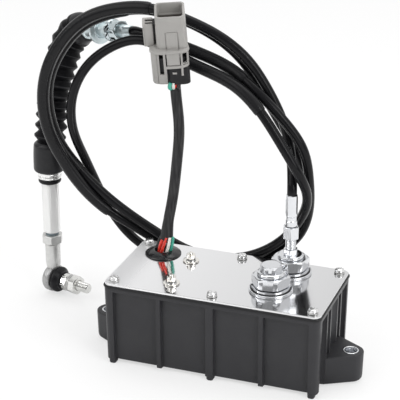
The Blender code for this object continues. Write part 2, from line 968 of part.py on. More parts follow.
jam_nut_bottom = lid_top_height + jam_nut_bottom_above_lid
hex_nut(
    "cable_jam_nut",
    "zinc",
    jam_nut_across_flats,
    tube_radius + clearance,
    jam_nut_bottom,
    jam_nut_bottom + jam_nut_height,
    Matrix.Translation((*rear_gland, 0)),
)
ferrule_bottom = lid_top_height + ferrule_bottom_above_lid
ferrule_top = lid_top_height + ferrule_top_above_lid
ferrule = turned(
    "cable_ferrule",
    [
        (tube_bore_radius, ferrule_top),
        (ferrule_radius - 0.4 * mm, ferrule_top),
        (ferrule_radius, ferrule_top - 0.6 * mm),
        (ferrule_radius, ferrule_bottom + 8 * mm),
        (ferrule_radius - 0.5 * mm, ferrule_bottom + 7 * mm),
        (ferrule_radius - 0.5 * mm, ferrule_bottom + 2 * mm),
        (ferrule_radius, ferrule_bottom + 1.2 * mm),
        (ferrule_radius, ferrule_bottom),
        (tube_bore_radius, ferrule_bottom),
    ],
    Matrix.Translation((*rear_gland, 0)),
    steps=20,
    closed=True,
)
finish_piece(ferrule, "zinc", 20)

# Gear train. The idler axis is found from the two centre distances.
centre_1 = gear_module * (pinion_teeth + idler_large_teeth) / 2 + gear_running_clearance
centre_2 = gear_module * (idler_small_teeth + output_teeth) / 2 + gear_running_clearance
from_motor = Vector(motor_axis)
to_output = Vector(output_axis) - from_motor
gap = to_output.length
part_way = (centre_1**2 - centre_2**2 + gap**2) / (2 * gap)
offset = math.sqrt(centre_1**2 - part_way**2)
forward = to_output.normalized()
sideways = Vector((forward.y, -forward.x))
idler_axis = from_motor + forward * part_way + sideways * offset
to_idler = idler_axis - from_motor
first_mesh = math.atan2(to_idler.y, to_idler.x)
onward = Vector(output_axis) - idler_axis
second_mesh = math.atan2(onward.y, onward.x)

base_bottom = floor_top + clearance
base_top = base_bottom + frame_base_height
frame_posts_top = lid_bottom - clearance
gear_frame = boxes(
    "gear_frame",
    [
        (
            frame_base_x,
            (-frame_base_half_width, frame_base_half_width),
            (base_bottom, base_top),
        )
    ],
)
for name, x_range, y_range, top in (
    ("motor_plate", motor_plate_x, (-30 * mm, 20 * mm), 64 * mm),
    ("middle_plate", middle_plate_x, (-29 * mm, 28 * mm), frame_plate_top),
    ("end_plate", end_plate_x, (-12 * mm, 26 * mm), frame_plate_top),
):
    plate = boxes(name, [(x_range, y_range, (base_top - mm, top))], helper=True)
    combine(gear_frame, plate, "UNION")
posts = discs(
    "posts",
    motor_screw_places,
    frame_post_radius,
    base_top - mm,
    frame_posts_top,
    sides=16,
    helper=True,
)
combine(gear_frame, posts, "UNION")
post_holes = discs(
    "post_holes",
    motor_screw_places,
    motor_screw_shank_radius + clearance,
    frame_posts_top - screw_shank_length,
    frame_posts_top + mm,
    sides=12,
    helper=True,
)
combine(gear_frame, post_holes, "DIFFERENCE")
for name, axis, radius, x_range in (
    ("motor_shaft_hole", motor_axis, motor_shaft_radius + clearance, motor_plate_x),
    ("middle_hole", output_axis, output_shaft_radius + clearance, middle_plate_x),
    ("end_hole", output_axis, output_shaft_radius + clearance, end_plate_x),
):
    hole = turned(
        name,
        [
            (0, x_range[1] - x_range[0] + mm),
            (radius, x_range[1] - x_range[0] + mm),
            (radius, -mm),
            (0, -mm),
        ],
        along_x(axis, x_range[0]),
        steps=20,
        helper=True,
    )
    combine(gear_frame, hole, "DIFFERENCE")
finish_piece(gear_frame, "zinc")

can_front = motor_plate_x[0] - clearance
can_back = can_front - motor_can_length
drive_motor = turned(
    "drive_motor",
    [
        (0, motor_can_length),
        (motor_can_radius - 1.5 * mm, motor_can_length),
        (motor_can_radius, motor_can_length - 1.5 * mm),
        (motor_can_radius, 2 * mm),
        (motor_can_radius - 2 * mm, 0),
        (5 * mm, 0),
        (5 * mm, -3 * mm),
        (0, -3 * mm),
    ],
    along_x(motor_axis, can_back),
    steps=24,
)
finish_piece(drive_motor, "zinc")

pinion = prism(
    "motor_pinion",
    gear_outline(pinion_teeth, gear_module, first_mesh),
    0,
    first_stage_x[1] - first_stage_x[0],
)
pinion_shaft = turned(
    "pinion_shaft",
    [
        (0, mm),
        (motor_shaft_radius, mm),
        (motor_shaft_radius, can_front + clearance - first_stage_x[0]),
        (0, can_front + clearance - first_stage_x[0]),
    ],
    steps=16,
    helper=True,
)
combine(pinion, pinion_shaft, "UNION")
finish_piece(pinion, "brass")
pinion.matrix_world = along_x(motor_axis, first_stage_x[0])

idler = prism(
    "idler_gear",
    gear_outline(
        idler_large_teeth,
        gear_module,
        first_mesh + math.pi + math.pi / idler_large_teeth,
    ),
    0,
    first_stage_x[1] - first_stage_x[0],
)
small_gear = prism(
    "small_gear",
    gear_outline(idler_small_teeth, gear_module, second_mesh),
    second_stage_x[0] - first_stage_x[0],
    second_stage_x[1] - first_stage_x[0],
    helper=True,
)
combine(idler, small_gear, "UNION")
idler_hub = turned(
    "idler_hub",
    [
        (0, second_stage_x[0] - first_stage_x[0] + mm),
        (idler_hub_radius, second_stage_x[0] - first_stage_x[0] + mm),
        (idler_hub_radius, mm),
        (0, mm),
    ],
    steps=20,
    helper=True,
)
combine(idler, idler_hub, "UNION")
idler_length = second_stage_x[1] - first_stage_x[0]
idler_bore = turned(
    "idler_bore",
    [
        (0, idler_length + 5 * mm),
        (idler_axle_radius + clearance, idler_length + 5 * mm),
        (idler_axle_radius + clearance, -5 * mm),
        (0, -5 * mm),
    ],
    steps=16,
    helper=True,
)
combine(idler, idler_bore, "DIFFERENCE")
finish_piece(idler, "white_acetal")
idler.matrix_world = along_x(idler_axis, first_stage_x[0])

axle_start = motor_plate_x[1] + clearance
axle_length = middle_plate_x[0] - clearance - axle_start
idler_axle = turned(
    "idler_axle",
    [
        (0, axle_length),
        (idler_axle_radius, axle_length),
        (idler_axle_radius, 0),
        (0, 0),
    ],
    along_x(idler_axis, axle_start),
    steps=16,
)
finish_piece(idler_axle, "polished_steel")

output_gear = prism(
    "output_gear",
    gear_outline(
        output_teeth, gear_module, second_mesh + math.pi + math.pi / output_teeth
    ),
    0,
    second_stage_x[1] - second_stage_x[0],
)
output_bore = turned(
    "output_bore",
    [
        (0, 20 * mm),
        (output_shaft_radius + clearance, 20 * mm),
        (output_shaft_radius + clearance, -5 * mm),
        (0, -5 * mm),
    ],
    steps=20,
    helper=True,
)
combine(output_gear, output_bore, "DIFFERENCE")
finish_piece(output_gear, "white_acetal")
output_gear.matrix_world = along_x(output_axis, second_stage_x[0])

shaft_length = output_shaft_x[1] - output_shaft_x[0]
output_shaft = turned(
    "output_shaft",
    [
        (0, shaft_length),
        (output_shaft_radius, shaft_length),
        (output_shaft_radius, 0),
        (0, 0),
    ],
    along_x(output_axis, output_shaft_x[0]),
    steps=20,
)
finish_piece(output_shaft, "polished_steel")

groove_radius = drum_pitch_radius - drum_wire_radius - clearance
drum_width = drum_x[1] - drum_x[0]
grooves = [rear_gland[0] - drum_x[0], front_gland[0] - drum_x[0]]
drum_profile = [(output_shaft_radius + clearance, drum_width)]
drum_profile.append((drum_radius, drum_width))
for groove in grooves:
    drum_profile.append((drum_radius, groove + drum_groove_width / 2))
    drum_profile.append((groove_radius, groove + drum_groove_width / 2 - 0.3 * mm))
    drum_profile.append((groove_radius, groove - drum_groove_width / 2 + 0.3 * mm))
    drum_profile.append((drum_radius, groove - drum_groove_width / 2))
drum_profile.append((drum_radius, 0))
drum_profile.append((output_shaft_radius + clearance, 0))
cable_drum = turned(
    "cable_drum",
    drum_profile,
    along_x(output_axis, drum_x[0]),
    steps=26,
    closed=True,
)
finish_piece(cable_drum, "white_acetal")

sensor_x = end_plate_x[1] + clearance
sensor = boxes(
    "position_sensor",
    [
        (
            (sensor_x, sensor_x + sensor_size[0]),
            (
                output_axis[0] - sensor_size[1] / 2,
                output_axis[0] + sensor_size[1] / 2,
            ),
            (
                output_axis[1] - sensor_size[2] / 2,
                output_axis[1] + sensor_size[2] / 2,
            ),
        )
    ],
)
sensor_hole = turned(
    "sensor_hole",
    [
        (0, sensor_hole_depth),
        (output_shaft_radius + clearance, sensor_hole_depth),
        (output_shaft_radius + clearance, -mm),
        (0, -mm),
    ],
    along_x(output_axis, sensor_x),
    steps=20,
    helper=True,
)
combine(sensor, sensor_hole, "DIFFERENCE")
finish_piece(sensor, "black_plastic")

board_bottom = base_top + clearance
board = boxes(
    "circuit_board",
    [(board_x, board_y, (board_bottom, board_bottom + board_height))],
)
finish_piece(board, "green_board")

wire_x = rear_gland[0]
wire_path = []
for step in range(8):
    angle = math.radians(-90 + 90 * step / 8)
    wire_path.append(
        Vector(
            (
                wire_x,
                output_axis[0] + drum_pitch_radius * math.cos(angle),
                output_axis[1] + drum_pitch_radius * math.sin(angle),
            )
        )
    )
wire_path.append(Vector((wire_x, rear_gland[1], output_axis[1])))
wire_path.append(Vector((wire_x, rear_gland[1], ferrule_top - 2 * mm)))
tube("drum_wire", "zinc", wire_path, drum_wire_radius, 1)

# Control cable: route points in millimetres, chosen by hand from the photo.
cable_route = (
    (44.4, 25.6, 143.8), (40, 36.5, 164), (31, 43, 191), (18, 43.5, 216.5),
    (1, 43.5, 239.5), (-22, 42, 257), (-48, 40.5, 268), (-76.5, 39.5, 274.5),
    (-105, 38, 272.5), (-131.5, 35, 263), (-152.5, 32, 243.5), (-166, 30, 218.5),
    (-171, 29.5, 190), (-167, 31, 161.5), (-156, 35, 135.5), (-141.5, 41, 111.5),
    (-122.5, 48, 91.5), (-98.5, 53.5, 76), (-74, 59, 62), (-46.5, 62, 55),
    (-17.5, 62.5, 55), (9, 63, 66), (30.5, 63, 85), (45, 59.5, 109.5),
    (48.5, 54, 137), (40.5, 51.5, 164.5), (25, 52, 188.5), (9.5, 52.5, 213),
    (-7, 51.5, 236.5), (-30, 50.5, 254), (-56, 49, 265), (-84.5, 47.5, 270.5),
    (-113, 46, 266), (-138.5, 43.5, 254), (-157.5, 41, 233), (-169.5, 39.5, 206.5),
    (-171.5, 40.5, 178), (-164, 42.5, 150.5), (-148, 46, 127), (-127, 47, 107.5),
    (-103.5, 49, 90.5), (-78.5, 50, 76.5), (-52, 50, 65.5), (-23.5, 50.5, 62.5),
    (4.5, 50, 70), (28, 49.5, 86), (45, 44, 108.5), (54.5, 34, 133.5),
    (50.5, 21.5, 159), (36, 20, 183), (17.5, 25, 205), (-5, 31, 221.5),
    (-32, 35.5, 230.5), (-59.5, 38, 239.5), (-86.5, 37.5, 248.5),
    (-113.5, 34.5, 239.5), (-134.5, 32.5, 220), (-146, 32, 194),
    (-148.5, 37, 166), (-146, 49, 140), (-140.5, 59.5, 113.5),
    (-129.5, 63.5, 87.5), (-110.5, 62, 66), (-85, 58.5, 53.5),
    (-57.5, 55.5, 47), (-28.5, 54, 47.5), (-1, 54.5, 56), (23, 54.5, 71.5),
    (43, 54, 92.5), (52, 49, 119), (53.5, 41.5, 146.5), (49, 36.5, 174.5),
    (33, 33.5, 198), (11.5, 36, 217), (-12.5, 42.5, 231), (-39.5, 44.5, 240.5),
    (-68, 44.5, 248), (-96.8, 51.2, 250.9),
)
route = [Vector(p) * mm for p in cable_route]
cable_start = Vector((*rear_gland, ferrule_top + clearance))
cable_path = [cable_start, *smooth_path(route, cable_points), hub_start]
tube("control_cable", "black_cable", cable_path, cable_diameter / 2, 2)

# The end hub lies on a straight line from the cable to the bellows.
hub_line = hub_end - hub_start
hub_length = hub_line.length
hub_frame = frame_along(hub_start, hub_line, (0, 0, 1))
disc_high = hub_length - hub_neck_length
disc_low = disc_high - hub_disc_thickness
hub_body = turned(
    "end_hub_body",
    [
        (0, hub_length - 0.8 * mm),
        (hub_seat_radius, hub_length - 0.8 * mm),
        (hub_seat_radius, hub_length - 2.5 * mm),
        (hub_neck_radius, hub_length - 2.5 * mm),
        (hub_neck_radius, disc_high),
        (hub_disc_radius, disc_high),
        (hub_disc_radius, disc_low),
        (hub_thread_radius, disc_low),
        (hub_thread_radius, 3 * mm),
        (hub_thread_radius - 0.8 * mm, 2 * mm),
        (hub_thread_radius - 0.8 * mm, clearance),
        (0, clearance),
    ],
    hub_frame,
    steps=24,
)
finish_piece(hub_body, "zinc")
hex_nut(
    "end_hub_flange_nut",
    "zinc",
    hub_wide_nut_across_flats,
    hub_thread_radius + clearance,
    hub_wide_nut_place[0],
    hub_wide_nut_place[1],
    hub_frame,
)
hex_nut(
    "end_hub_lock_nut",
    "zinc",
    hub_slim_nut_across_flats,
    hub_thread_radius + clearance,
    hub_slim_nut_place[0],
    hub_slim_nut_place[1],
    hub_frame,
)

# Bellows: rings swept along a bent line, plain bore, open at both ends.
boot_route = (
    (-155.1, 81.6, 238.1),
    (-160, 83.2, 236.8),
    (-164.5, 83.5, 234),
    (-168.1, 82.6, 230.1),
    (-170.6, 81.4, 225.6),
    (-174.4, 77.4, 213.5),
    (-178.7, 71.5, 190.5),
    (-180.8, 67.2, 170.9),
    (-182.1, 64, 151.3),
    (-183.2, 61.5, 135),
    (-183.5, 61, 121.5),
)
boot_line = smooth_path(
    [hub_end, *(Vector(p) * mm for p in boot_route), boot_end],
    400,
)
walked = [0.0]
for before, after in zip(boot_line, boot_line[1:]):
    walked.append(walked[-1] + (after - before).length)
boot_length = walked[-1]


def boot_place(distance):
    """Centre and direction of the bellows at a length along its line."""
    k = int(np.clip(np.searchsorted(walked, distance), 1, len(walked) - 1))
    share = (distance - walked[k - 1]) / (walked[k] - walked[k - 1])
    centre = boot_line[k - 1].lerp(boot_line[k], share)
    return centre, (boot_line[k] - boot_line[k - 1]).normalized()


folds_end = boot_length - boot_cuff_length
stations = [(0.0, boot_top_radius - 1.6 * mm), (1.6 * mm, boot_top_radius - 0.2 * mm)]
stations += [(10 * mm, boot_top_radius)]
fold_start = 12 * mm
pitch = (folds_end - fold_start) / boot_convolutions
for fold in range(boot_convolutions):
    share = fold / (boot_convolutions - 1)
    crest = boot_top_radius + (boot_bottom_radius - boot_top_radius) * share
    here = fold_start + fold * pitch
    stations.append((here, crest - boot_groove_depth))
    stations.append((here + 0.34 * pitch, crest))
    stations.append((here + 0.68 * pitch, crest))
stations.append((folds_end, boot_cuff_radius))
stations.append((boot_length - 1 * mm, boot_cuff_radius))
stations.append((boot_length, boot_cuff_radius - 0.8 * mm))
bore = min(radius for _, radius in stations) - boot_wall
boot_sides = 18
bm = bmesh.new()
rings = []
walk = stations + [(s, bore) for s, _ in reversed(stations[::6] + [stations[-1]])]
for distance, radius in walk:
    centre, direction = boot_place(distance)
    side = Vector((0, 1, 0)) - direction * direction.y
    side.normalize()
    other = direction.cross(side)
    ring = []
    for step in range(boot_sides):
        angle = 2 * math.pi * step / boot_sides
        around = side * math.cos(angle) + other * math.sin(angle)
        ring.append(bm.verts.new(centre + around * radius))
    rings.append(ring)
rings.append(rings[0])
for ring, following in zip(rings, rings[1:]):
    for i in range(boot_sides):
        j = (i + 1) % boot_sides
        bm.faces.new((ring[i], ring[j], following[j], following[i]))
boot = from_bmesh("bellows_boot", bm)
finish_piece(boot, "black_rubber", 50)

# Everything below the bellows hangs on one upright rod.
rod_frame = Matrix.Translation((*rod_axis, 0))
ring_top = boot_end.z - clearance
ring_bottom = ring_top - ring_height
boot_ring = turned(
    "boot_ring",
    [
        (inner_rod_radius + clearance, ring_top),
        (ring_radius, ring_top),
        (ring_radius, ring_bottom),
        (inner_rod_radius + clearance, ring_bottom),
    ],
    rod_frame,
    steps=20,
    closed=True,
)
finish_piece(boot_ring, "zinc")
seal_top = ring_bottom - clearance
seal_bottom = seal_top - seal_height
boot_seal = turned(
    "boot_seal",
    [
        (inner_rod_radius + clearance, seal_top),
        (seal_radius - 1 * mm, seal_top),
        (seal_radius, seal_top - 1.2 * mm),
        (seal_radius, seal_bottom + 1.2 * mm),
        (seal_radius - 1 * mm, seal_bottom),
        (inner_rod_radius + clearance, seal_bottom),
    ],
    rod_frame,
    steps=20,
    closed=True,
)
finish_piece(boot_seal, "black_rubber")
coupling_top = seal_bottom - clearance
coupling_bottom = coupling_top - coupling_height
hex_nut(
    "hex_coupling",
    "zinc",
    coupling_across_flats,
    inner_rod_radius + clearance,
    coupling_bottom,
    coupling_top,
    rod_frame,
)
inner_rod = turned(
    "inner_rod",
    [
        (0, inner_rod_top),
        (inner_rod_radius, inner_rod_top),
        (inner_rod_radius, coupling_bottom + 12 * mm),
        (0, coupling_bottom + 12 * mm),
    ],
    rod_frame,
    steps=16,
)
finish_piece(inner_rod, "polished_steel")
lock_nut_top = coupling_bottom - clearance
lock_nut_bottom = lock_nut_top - lock_nut_height
hex_nut(
    "lock_nut",
    "zinc",
    lock_nut_across_flats,
    shank_radius - 1.2 * mm,
    lock_nut_bottom,
    lock_nut_top,
    rod_frame,
)

# Rod end: an eye turned about the stud axis, joined to its shank.
eye_centre = Vector((*rod_axis, eye_height))
stud_frame = frame_along(eye_centre, stud_direction, (0, 0, 1))
rod_end = turned(
    "rod_end",
    [
        (ball_radius + 0.4 * mm, eye_half_thickness),
        (eye_radius - 0.8 * mm, eye_half_thickness),
        (eye_radius, eye_half_thickness - 0.8 * mm),
        (eye_radius, -eye_half_thickness + 0.8 * mm),
        (eye_radius - 0.8 * mm, -eye_half_thickness),
        (ball_radius + 0.4 * mm, -eye_half_thickness),
    ],
    stud_frame,
    steps=24,
    closed=True,
)
shank = turned(
    "shank",
    [
        (0, lock_nut_top),
        (shank_radius - 1.6 * mm, lock_nut_top),
        (shank_radius - 1.6 * mm, lock_nut_bottom - clearance),
        (shank_radius, lock_nut_bottom - clearance),
        (shank_radius, 28 * mm),
        (eye_half_thickness + 0.6 * mm, shank_bottom),
        (0, shank_bottom),
    ],
    rod_frame,
    steps=20,
    helper=True,
)
combine(rod_end, shank, "UNION")
finish_piece(rod_end, "zinc")

dust_cap = turned(
    "dust_cap",
    [
        (stud_neck_radius + 1.2 * mm, cap_end),
        (cap_lip_radius, cap_end),
        (cap_lip_radius, cap_end - 1.6 * mm),
        (cap_radius, cap_end - 8 * mm),
        (cap_radius, cap_start + mm),
        (cap_radius - 1 * mm, cap_start),
        (cap_radius - 2.2 * mm, cap_start),
        (cap_radius - 1.8 * mm, cap_end - 8.8 * mm),
        (cap_lip_radius - 1.4 * mm, cap_end - 2.2 * mm),
        (stud_neck_radius + 1.2 * mm, cap_end - 1.6 * mm),
    ],
    stud_frame,
    steps=20,
    closed=True,
)
finish_piece(dust_cap, "black_rubber")

ball_profile = []
for step in range(6):
    angle = math.radians(62 - 122 * step / 5)
    ball_profile.append((ball_radius * math.cos(angle), ball_radius * math.sin(angle)))
stud_profile = [
    (0, stud_length),
    (stud_thread_radius - 0.8 * mm, stud_length),
    (stud_thread_radius, stud_length - 0.8 * mm),
    (stud_thread_radius, stud_hex[0] + mm),
    (stud_neck_radius, stud_hex[0] + mm),
    (stud_neck_radius, ball_radius),
]
stud_profile += ball_profile
stud_profile.append((0, ball_profile[-1][1]))
ball_stud = hex_nut(
    "ball_stud",
    "zinc",
    stud_hex_across_flats,
    0,
    stud_hex[0],
    stud_hex[1],
)
stud_form = turned("stud_form", stud_profile, steps=14, helper=True)
combine(ball_stud, stud_form, "UNION")
finish_piece(ball_stud, "zinc")
ball_stud.matrix_world = stud_frame
hex_nut(
    "stud_nut",
    "zinc",
    stud_nut_across_flats,
    stud_thread_radius + clearance,
    stud_nut_place[0],
    stud_nut_place[1],
    stud_frame @ Matrix.Rotation(math.radians(17), 4, "Z"),
)

# Wiring tail: a loom, and the four wires between it and the grommet.
loom_route = (
    (-61.3, 24, 86), (-59.4, 24, 102.4), (-57.1, 24, 114.6), (-53.2, 23, 137.9),
    (-50.4, 22, 160.7), (-48.8, 21.5, 177.7), (-49.2, 21.8, 193),
    (-50.9, 22.2, 208), (-52.2, 22.3, 222.5),
)
loom_path = smooth_path([Vector(p) * mm for p in loom_route], 11)
tube("wire_loom", "black_cable", loom_path, loom_diameter / 2, 3)
wire_bottom = grommet_top - 2.5 * mm
for name, finish, place in (
    ("wire_red_1", "red_wire", (-2.1, -1.2)),
    ("wire_red_2", "red_wire", (1.3, 2.1)),
    ("wire_white", "white_wire", (1.2, -2.0)),
    ("wire_green", "green_wire", (-1.6, 1.9)),
):
    low = Vector((grommet_centre[0] + place[0] * 0.9 * mm, 0, wire_bottom))
    low.y = grommet_centre[1] + place[1] * 0.9 * mm
    high = Vector(loom_path[0]) + Vector((place[0], place[1], -0.6)) * mm
    middle = low.lerp(high, 0.5) + Vector((place[0], place[1], 0)) * 0.4 * mm
    wire_route = [low, middle, high]
    tube(name, finish, wire_route, wire_diameter / 2, 1)

# Connector, built upright in its own frame and then leaned into place.
connector_frame = frame_along(connector_base, connector_direction, connector_right)
half_x = connector_body_size[0] / 2
half_y = connector_body_size[1] / 2
shell = prism(
    "connector_shell",
    rounded_rectangle(half_x, half_y, 4 * mm),
    connector_flange[0] + mm,
    connector_length,
)
middle_x = (connector_cage_right - connector_cage_left) / 2
cage_half_x = (connector_cage_right + connector_cage_left) / 2
flange_form = prism(
    "flange_form",
    [
        (x + middle_x, y)
        for x, y in rounded_rectangle(
            cage_half_x + 0.6 * mm, connector_cage_half_depth + 0.6 * mm, 3 * mm
        )
    ],
    connector_flange[0],
    connector_flange[1],
    helper=True,
)
combine(shell, flange_form, "UNION")
cage_form = prism(
    "cage_form",
    [
        (x + middle_x, y)
        for x, y in rounded_rectangle(cage_half_x, connector_cage_half_depth, 2.6 * mm)
    ],
    mm,
    connector_flange[0] + mm,
    helper=True,
)
combine(shell, cage_form, "UNION")
cage_inside = boxes(
    "cage_inside",
    [
        (
            (
                -connector_cage_left + connector_cage_wall,
                connector_cage_right - connector_cage_wall,
            ),
            (
                -connector_cage_half_depth + connector_cage_wall,
                connector_cage_half_depth - connector_cage_wall,
            ),
            (-mm, connector_flange[0] - 2 * mm),
        )
    ],
    helper=True,
)
combine(shell, cage_inside, "DIFFERENCE")
mouth = prism(
    "mouth",
    rounded_rectangle(
        connector_mouth_size[0] / 2, connector_mouth_size[1] / 2, 3 * mm
    ),
    connector_length - connector_mouth_depth,
    connector_length + mm,
    helper=True,
)
combine(shell, mouth, "DIFFERENCE")
front_wall = (-connector_cage_half_depth - mm, -connector_cage_half_depth + 3 * mm)
windows = boxes(
    "windows",
    [
        ((-11 * mm, -6.6 * mm), front_wall, (8 * mm, 25 * mm)),
        ((8.4 * mm, 11.2 * mm), front_wall, (18 * mm, 26 * mm)),
        ((-4.6 * mm, 20 * mm), front_wall, (-mm, 14.5 * mm)),
    ],
    helper=True,
)
combine(shell, windows, "DIFFERENCE")
finish_piece(shell, "gray_plastic")
shell.matrix_world = connector_frame

insert = boxes(
    "connector_insert",
    [
        (
            (
                -connector_cage_left + connector_cage_wall + clearance,
                connector_cage_right - connector_cage_wall - clearance,
            ),
            (
                -connector_cage_half_depth + connector_cage_wall + clearance,
                connector_cage_half_depth - connector_cage_wall - clearance,
            ),
            (1.5 * mm, connector_flange[0] - 2 * mm - clearance),
        )
    ],
)
finish_piece(insert, "black_plastic")
insert.matrix_world = connector_frame

latch_bottom = connector_flange[1] + clearance
latch = boxes(
    "connector_latch",
    [
        (
            (latch_left, latch_left + latch_width),
            (-latch_half_depth, latch_half_depth),
            (latch_bottom, latch_top),
        )
    ],
)
latch_slot = boxes(
    "latch_slot",
    [
        (
            (latch_left + 2.6 * mm, latch_left + latch_width - 2.2 * mm),
            (-latch_half_depth - mm, latch_half_depth + mm),
            (latch_top - latch_slot_depth, latch_top + 3 * mm),
        )
    ],
    helper=True,
)
combine(latch, latch_slot, "DIFFERENCE")
finish_piece(latch, "gray_plastic")
latch.matrix_world = connector_frame
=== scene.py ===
import math
import bmesh
import bpy
import numpy as np
from mathutils import Matrix, Vector


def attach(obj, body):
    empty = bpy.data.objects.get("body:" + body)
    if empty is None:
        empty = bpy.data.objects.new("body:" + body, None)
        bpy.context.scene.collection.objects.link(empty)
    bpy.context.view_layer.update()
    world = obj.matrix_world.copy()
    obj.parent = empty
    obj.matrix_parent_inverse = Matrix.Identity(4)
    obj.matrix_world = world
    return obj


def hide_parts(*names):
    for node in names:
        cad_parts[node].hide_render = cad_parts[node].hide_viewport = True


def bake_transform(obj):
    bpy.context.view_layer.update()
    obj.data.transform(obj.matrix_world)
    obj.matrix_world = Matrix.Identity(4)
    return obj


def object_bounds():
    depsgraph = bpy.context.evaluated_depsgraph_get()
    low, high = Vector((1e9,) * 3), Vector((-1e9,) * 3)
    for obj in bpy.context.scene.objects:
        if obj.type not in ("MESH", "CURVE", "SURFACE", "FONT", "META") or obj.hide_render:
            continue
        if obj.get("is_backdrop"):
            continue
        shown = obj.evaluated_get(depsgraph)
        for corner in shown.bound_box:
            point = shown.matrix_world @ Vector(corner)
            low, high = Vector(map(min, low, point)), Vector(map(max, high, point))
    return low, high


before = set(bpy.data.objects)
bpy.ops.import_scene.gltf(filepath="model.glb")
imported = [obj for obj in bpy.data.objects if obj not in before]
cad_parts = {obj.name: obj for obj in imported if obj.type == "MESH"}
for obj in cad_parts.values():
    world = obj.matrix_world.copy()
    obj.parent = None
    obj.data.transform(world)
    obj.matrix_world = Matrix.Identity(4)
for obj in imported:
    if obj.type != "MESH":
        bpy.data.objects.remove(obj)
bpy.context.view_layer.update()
mm = 0.001
still = "motor_unit"

# Camera, floor and light
cameraSet = {
    "place": (0.3614, -1.0413, 0.6085),
    "azimuth": 20.271,
    "elevation": 23.095,
    "roll": -0.093,
    "lens": 138.09,
}
cameraData = bpy.data.cameras.new("photo_camera")
cameraData.lens = cameraSet["lens"]
cameraData.sensor_width = 36
cameraData.clip_start = 0.05
camera = bpy.data.objects.new("photo_camera", cameraData)
bpy.context.scene.collection.objects.link(camera)
bpy.context.scene.camera = camera
az, el, roll = (math.radians(cameraSet[k]) for k in ("azimuth", "elevation", "roll"))
back = Vector((math.sin(az) * math.cos(el), -math.cos(az) * math.cos(el), math.sin(el)))
flat = Vector((math.cos(az), math.sin(az), 0))
rise = back.cross(flat)
right = flat * math.cos(roll) + rise * math.sin(roll)
top = rise * math.cos(roll) - flat * math.sin(roll)
turn = Matrix((right, top, back)).transposed().to_4x4()
turn.translation = Vector(cameraSet["place"])
camera.matrix_world = turn

stageSet = {
    "floorSize": 8.0,
    "floorColor": (0.95, 0.95, 0.95, 1),
    "floorGlow": 0.6,
    "keyPower": 9.0,
    "fillPower": 9.0,
    "topPower": 6.0,
    "stripPower": 2.5,
    "worldStrength": 1.0,
    "frontLevel": 0.42,
    "backLevel": 0.96,
    "bandLevel": 0.22,
}


def linked(name, data):
    obj = bpy.data.objects.new(name, data)
    bpy.context.scene.collection.objects.link(obj)
    return obj


def nodeMaterial(name):
    made = bpy.data.materials.new(name)
    made.use_nodes = True
    return made, made.node_tree.nodes, made.node_tree.links


floorMesh = bpy.data.meshes.new("floor")
half = stageSet["floorSize"] / 2
floorMesh.from_pydata([(-half, -half, 0), (half, -half, 0), (half, half, 0), (-half, half, 0)], [], [(0, 1, 2, 3)])
floor = linked("floor", floorMesh)
floorPaint, nodes, links = nodeMaterial("floor_paper")
nodes["Principled BSDF"].inputs["Base Color"].default_value = stageSet["floorColor"]
nodes["Principled BSDF"].inputs["Roughness"].default_value = 0.9
nodes["Principled BSDF"].inputs["Specular IOR Level"].default_value = 0.0
glow = nodes.new("ShaderNodeEmission")
glow.inputs["Color"].default_value = (1, 1, 1, 1)
glow.inputs["Strength"].default_value = 1.0
seen = nodes.new("ShaderNodeLightPath")
share = nodes.new("ShaderNodeMath")
share.operation = "MULTIPLY"
share.inputs[1].default_value = stageSet["floorGlow"]
links.new(seen.outputs["Is Camera Ray"], share.inputs[0])
blendIn = nodes.new("ShaderNodeMixShader")
links.new(share.outputs[0], blendIn.inputs[0])
links.new(nodes["Principled BSDF"].outputs[0], blendIn.inputs[1])
links.new(glow.outputs[0], blendIn.inputs[2])
links.new(blendIn.outputs[0], nodes["Material Output"].inputs["Surface"])
floorMesh.materials.append(floorPaint)
floor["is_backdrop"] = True


def softLight(name, place, target, size, power, height=None):
    data = bpy.data.lights.new(name, "AREA")
    data.shape = "RECTANGLE"
    data.size = size
    data.size_y = height or size
    data.energy = power
    obj = linked(name, data)
    obj.location = place
    obj.rotation_euler = (Vector(target) - Vector(place)).to_track_quat("-Z", "Y").to_euler()


middle = (-0.03, 0.0, 0.1)
softLight("key_light", (-0.9, -1.1, 1.5), middle, 1.5, stageSet["keyPower"])
softLight("fill_light", (1.3, -0.6, 0.9), middle, 0.8, stageSet["fillPower"], 1.4)
softLight("left_strip", (-1.3, -0.7, 0.9), middle, 0.06, stageSet["stripPower"], 1.2)
softLight("right_strip", (1.2, -0.9, 1.3), middle, 0.06, stageSet["stripPower"], 1.2)
softLight("top_light", (0.1, 0.5, 1.8), middle, 1.2, stageSet["topPower"])

world = bpy.data.worlds.new("studio")
bpy.context.scene.world = world
world.use_nodes = True
nodes, links = world.node_tree.nodes, world.node_tree.links
nodes.clear()
worldOut = nodes.new("ShaderNodeOutputWorld")
plain = nodes.new("ShaderNodeBackground")
plain.inputs["Color"].default_value = (1, 1, 1, 1)
room = nodes.new("ShaderNodeBackground")
room.inputs["Strength"].default_value = stageSet["worldStrength"]
place = nodes.new("ShaderNodeTexCoord")
split = nodes.new("ShaderNodeSeparateXYZ")
links.new(place.outputs["Generated"], split.inputs[0])
ramp = nodes.new("ShaderNodeMapRange")  # dimmer towards the camera, bright behind the object
ramp.inputs["From Min"].default_value = -0.75
ramp.inputs["From Max"].default_value = 0.35
ramp.inputs["To Min"].default_value = stageSet["frontLevel"]
ramp.inputs["To Max"].default_value = stageSet["backLevel"]
links.new(split.outputs["Y"], ramp.inputs["Value"])
bands = nodes.new("ShaderNodeTexWave")
bands.wave_type = "BANDS"
bands.bands_direction = "X"
bands.inputs["Scale"].default_value = 0.62
bands.inputs["Distortion"].default_value = 1.2
bands.inputs["Detail"].default_value = 0.0
links.new(place.outputs["Generated"], bands.inputs["Vector"])
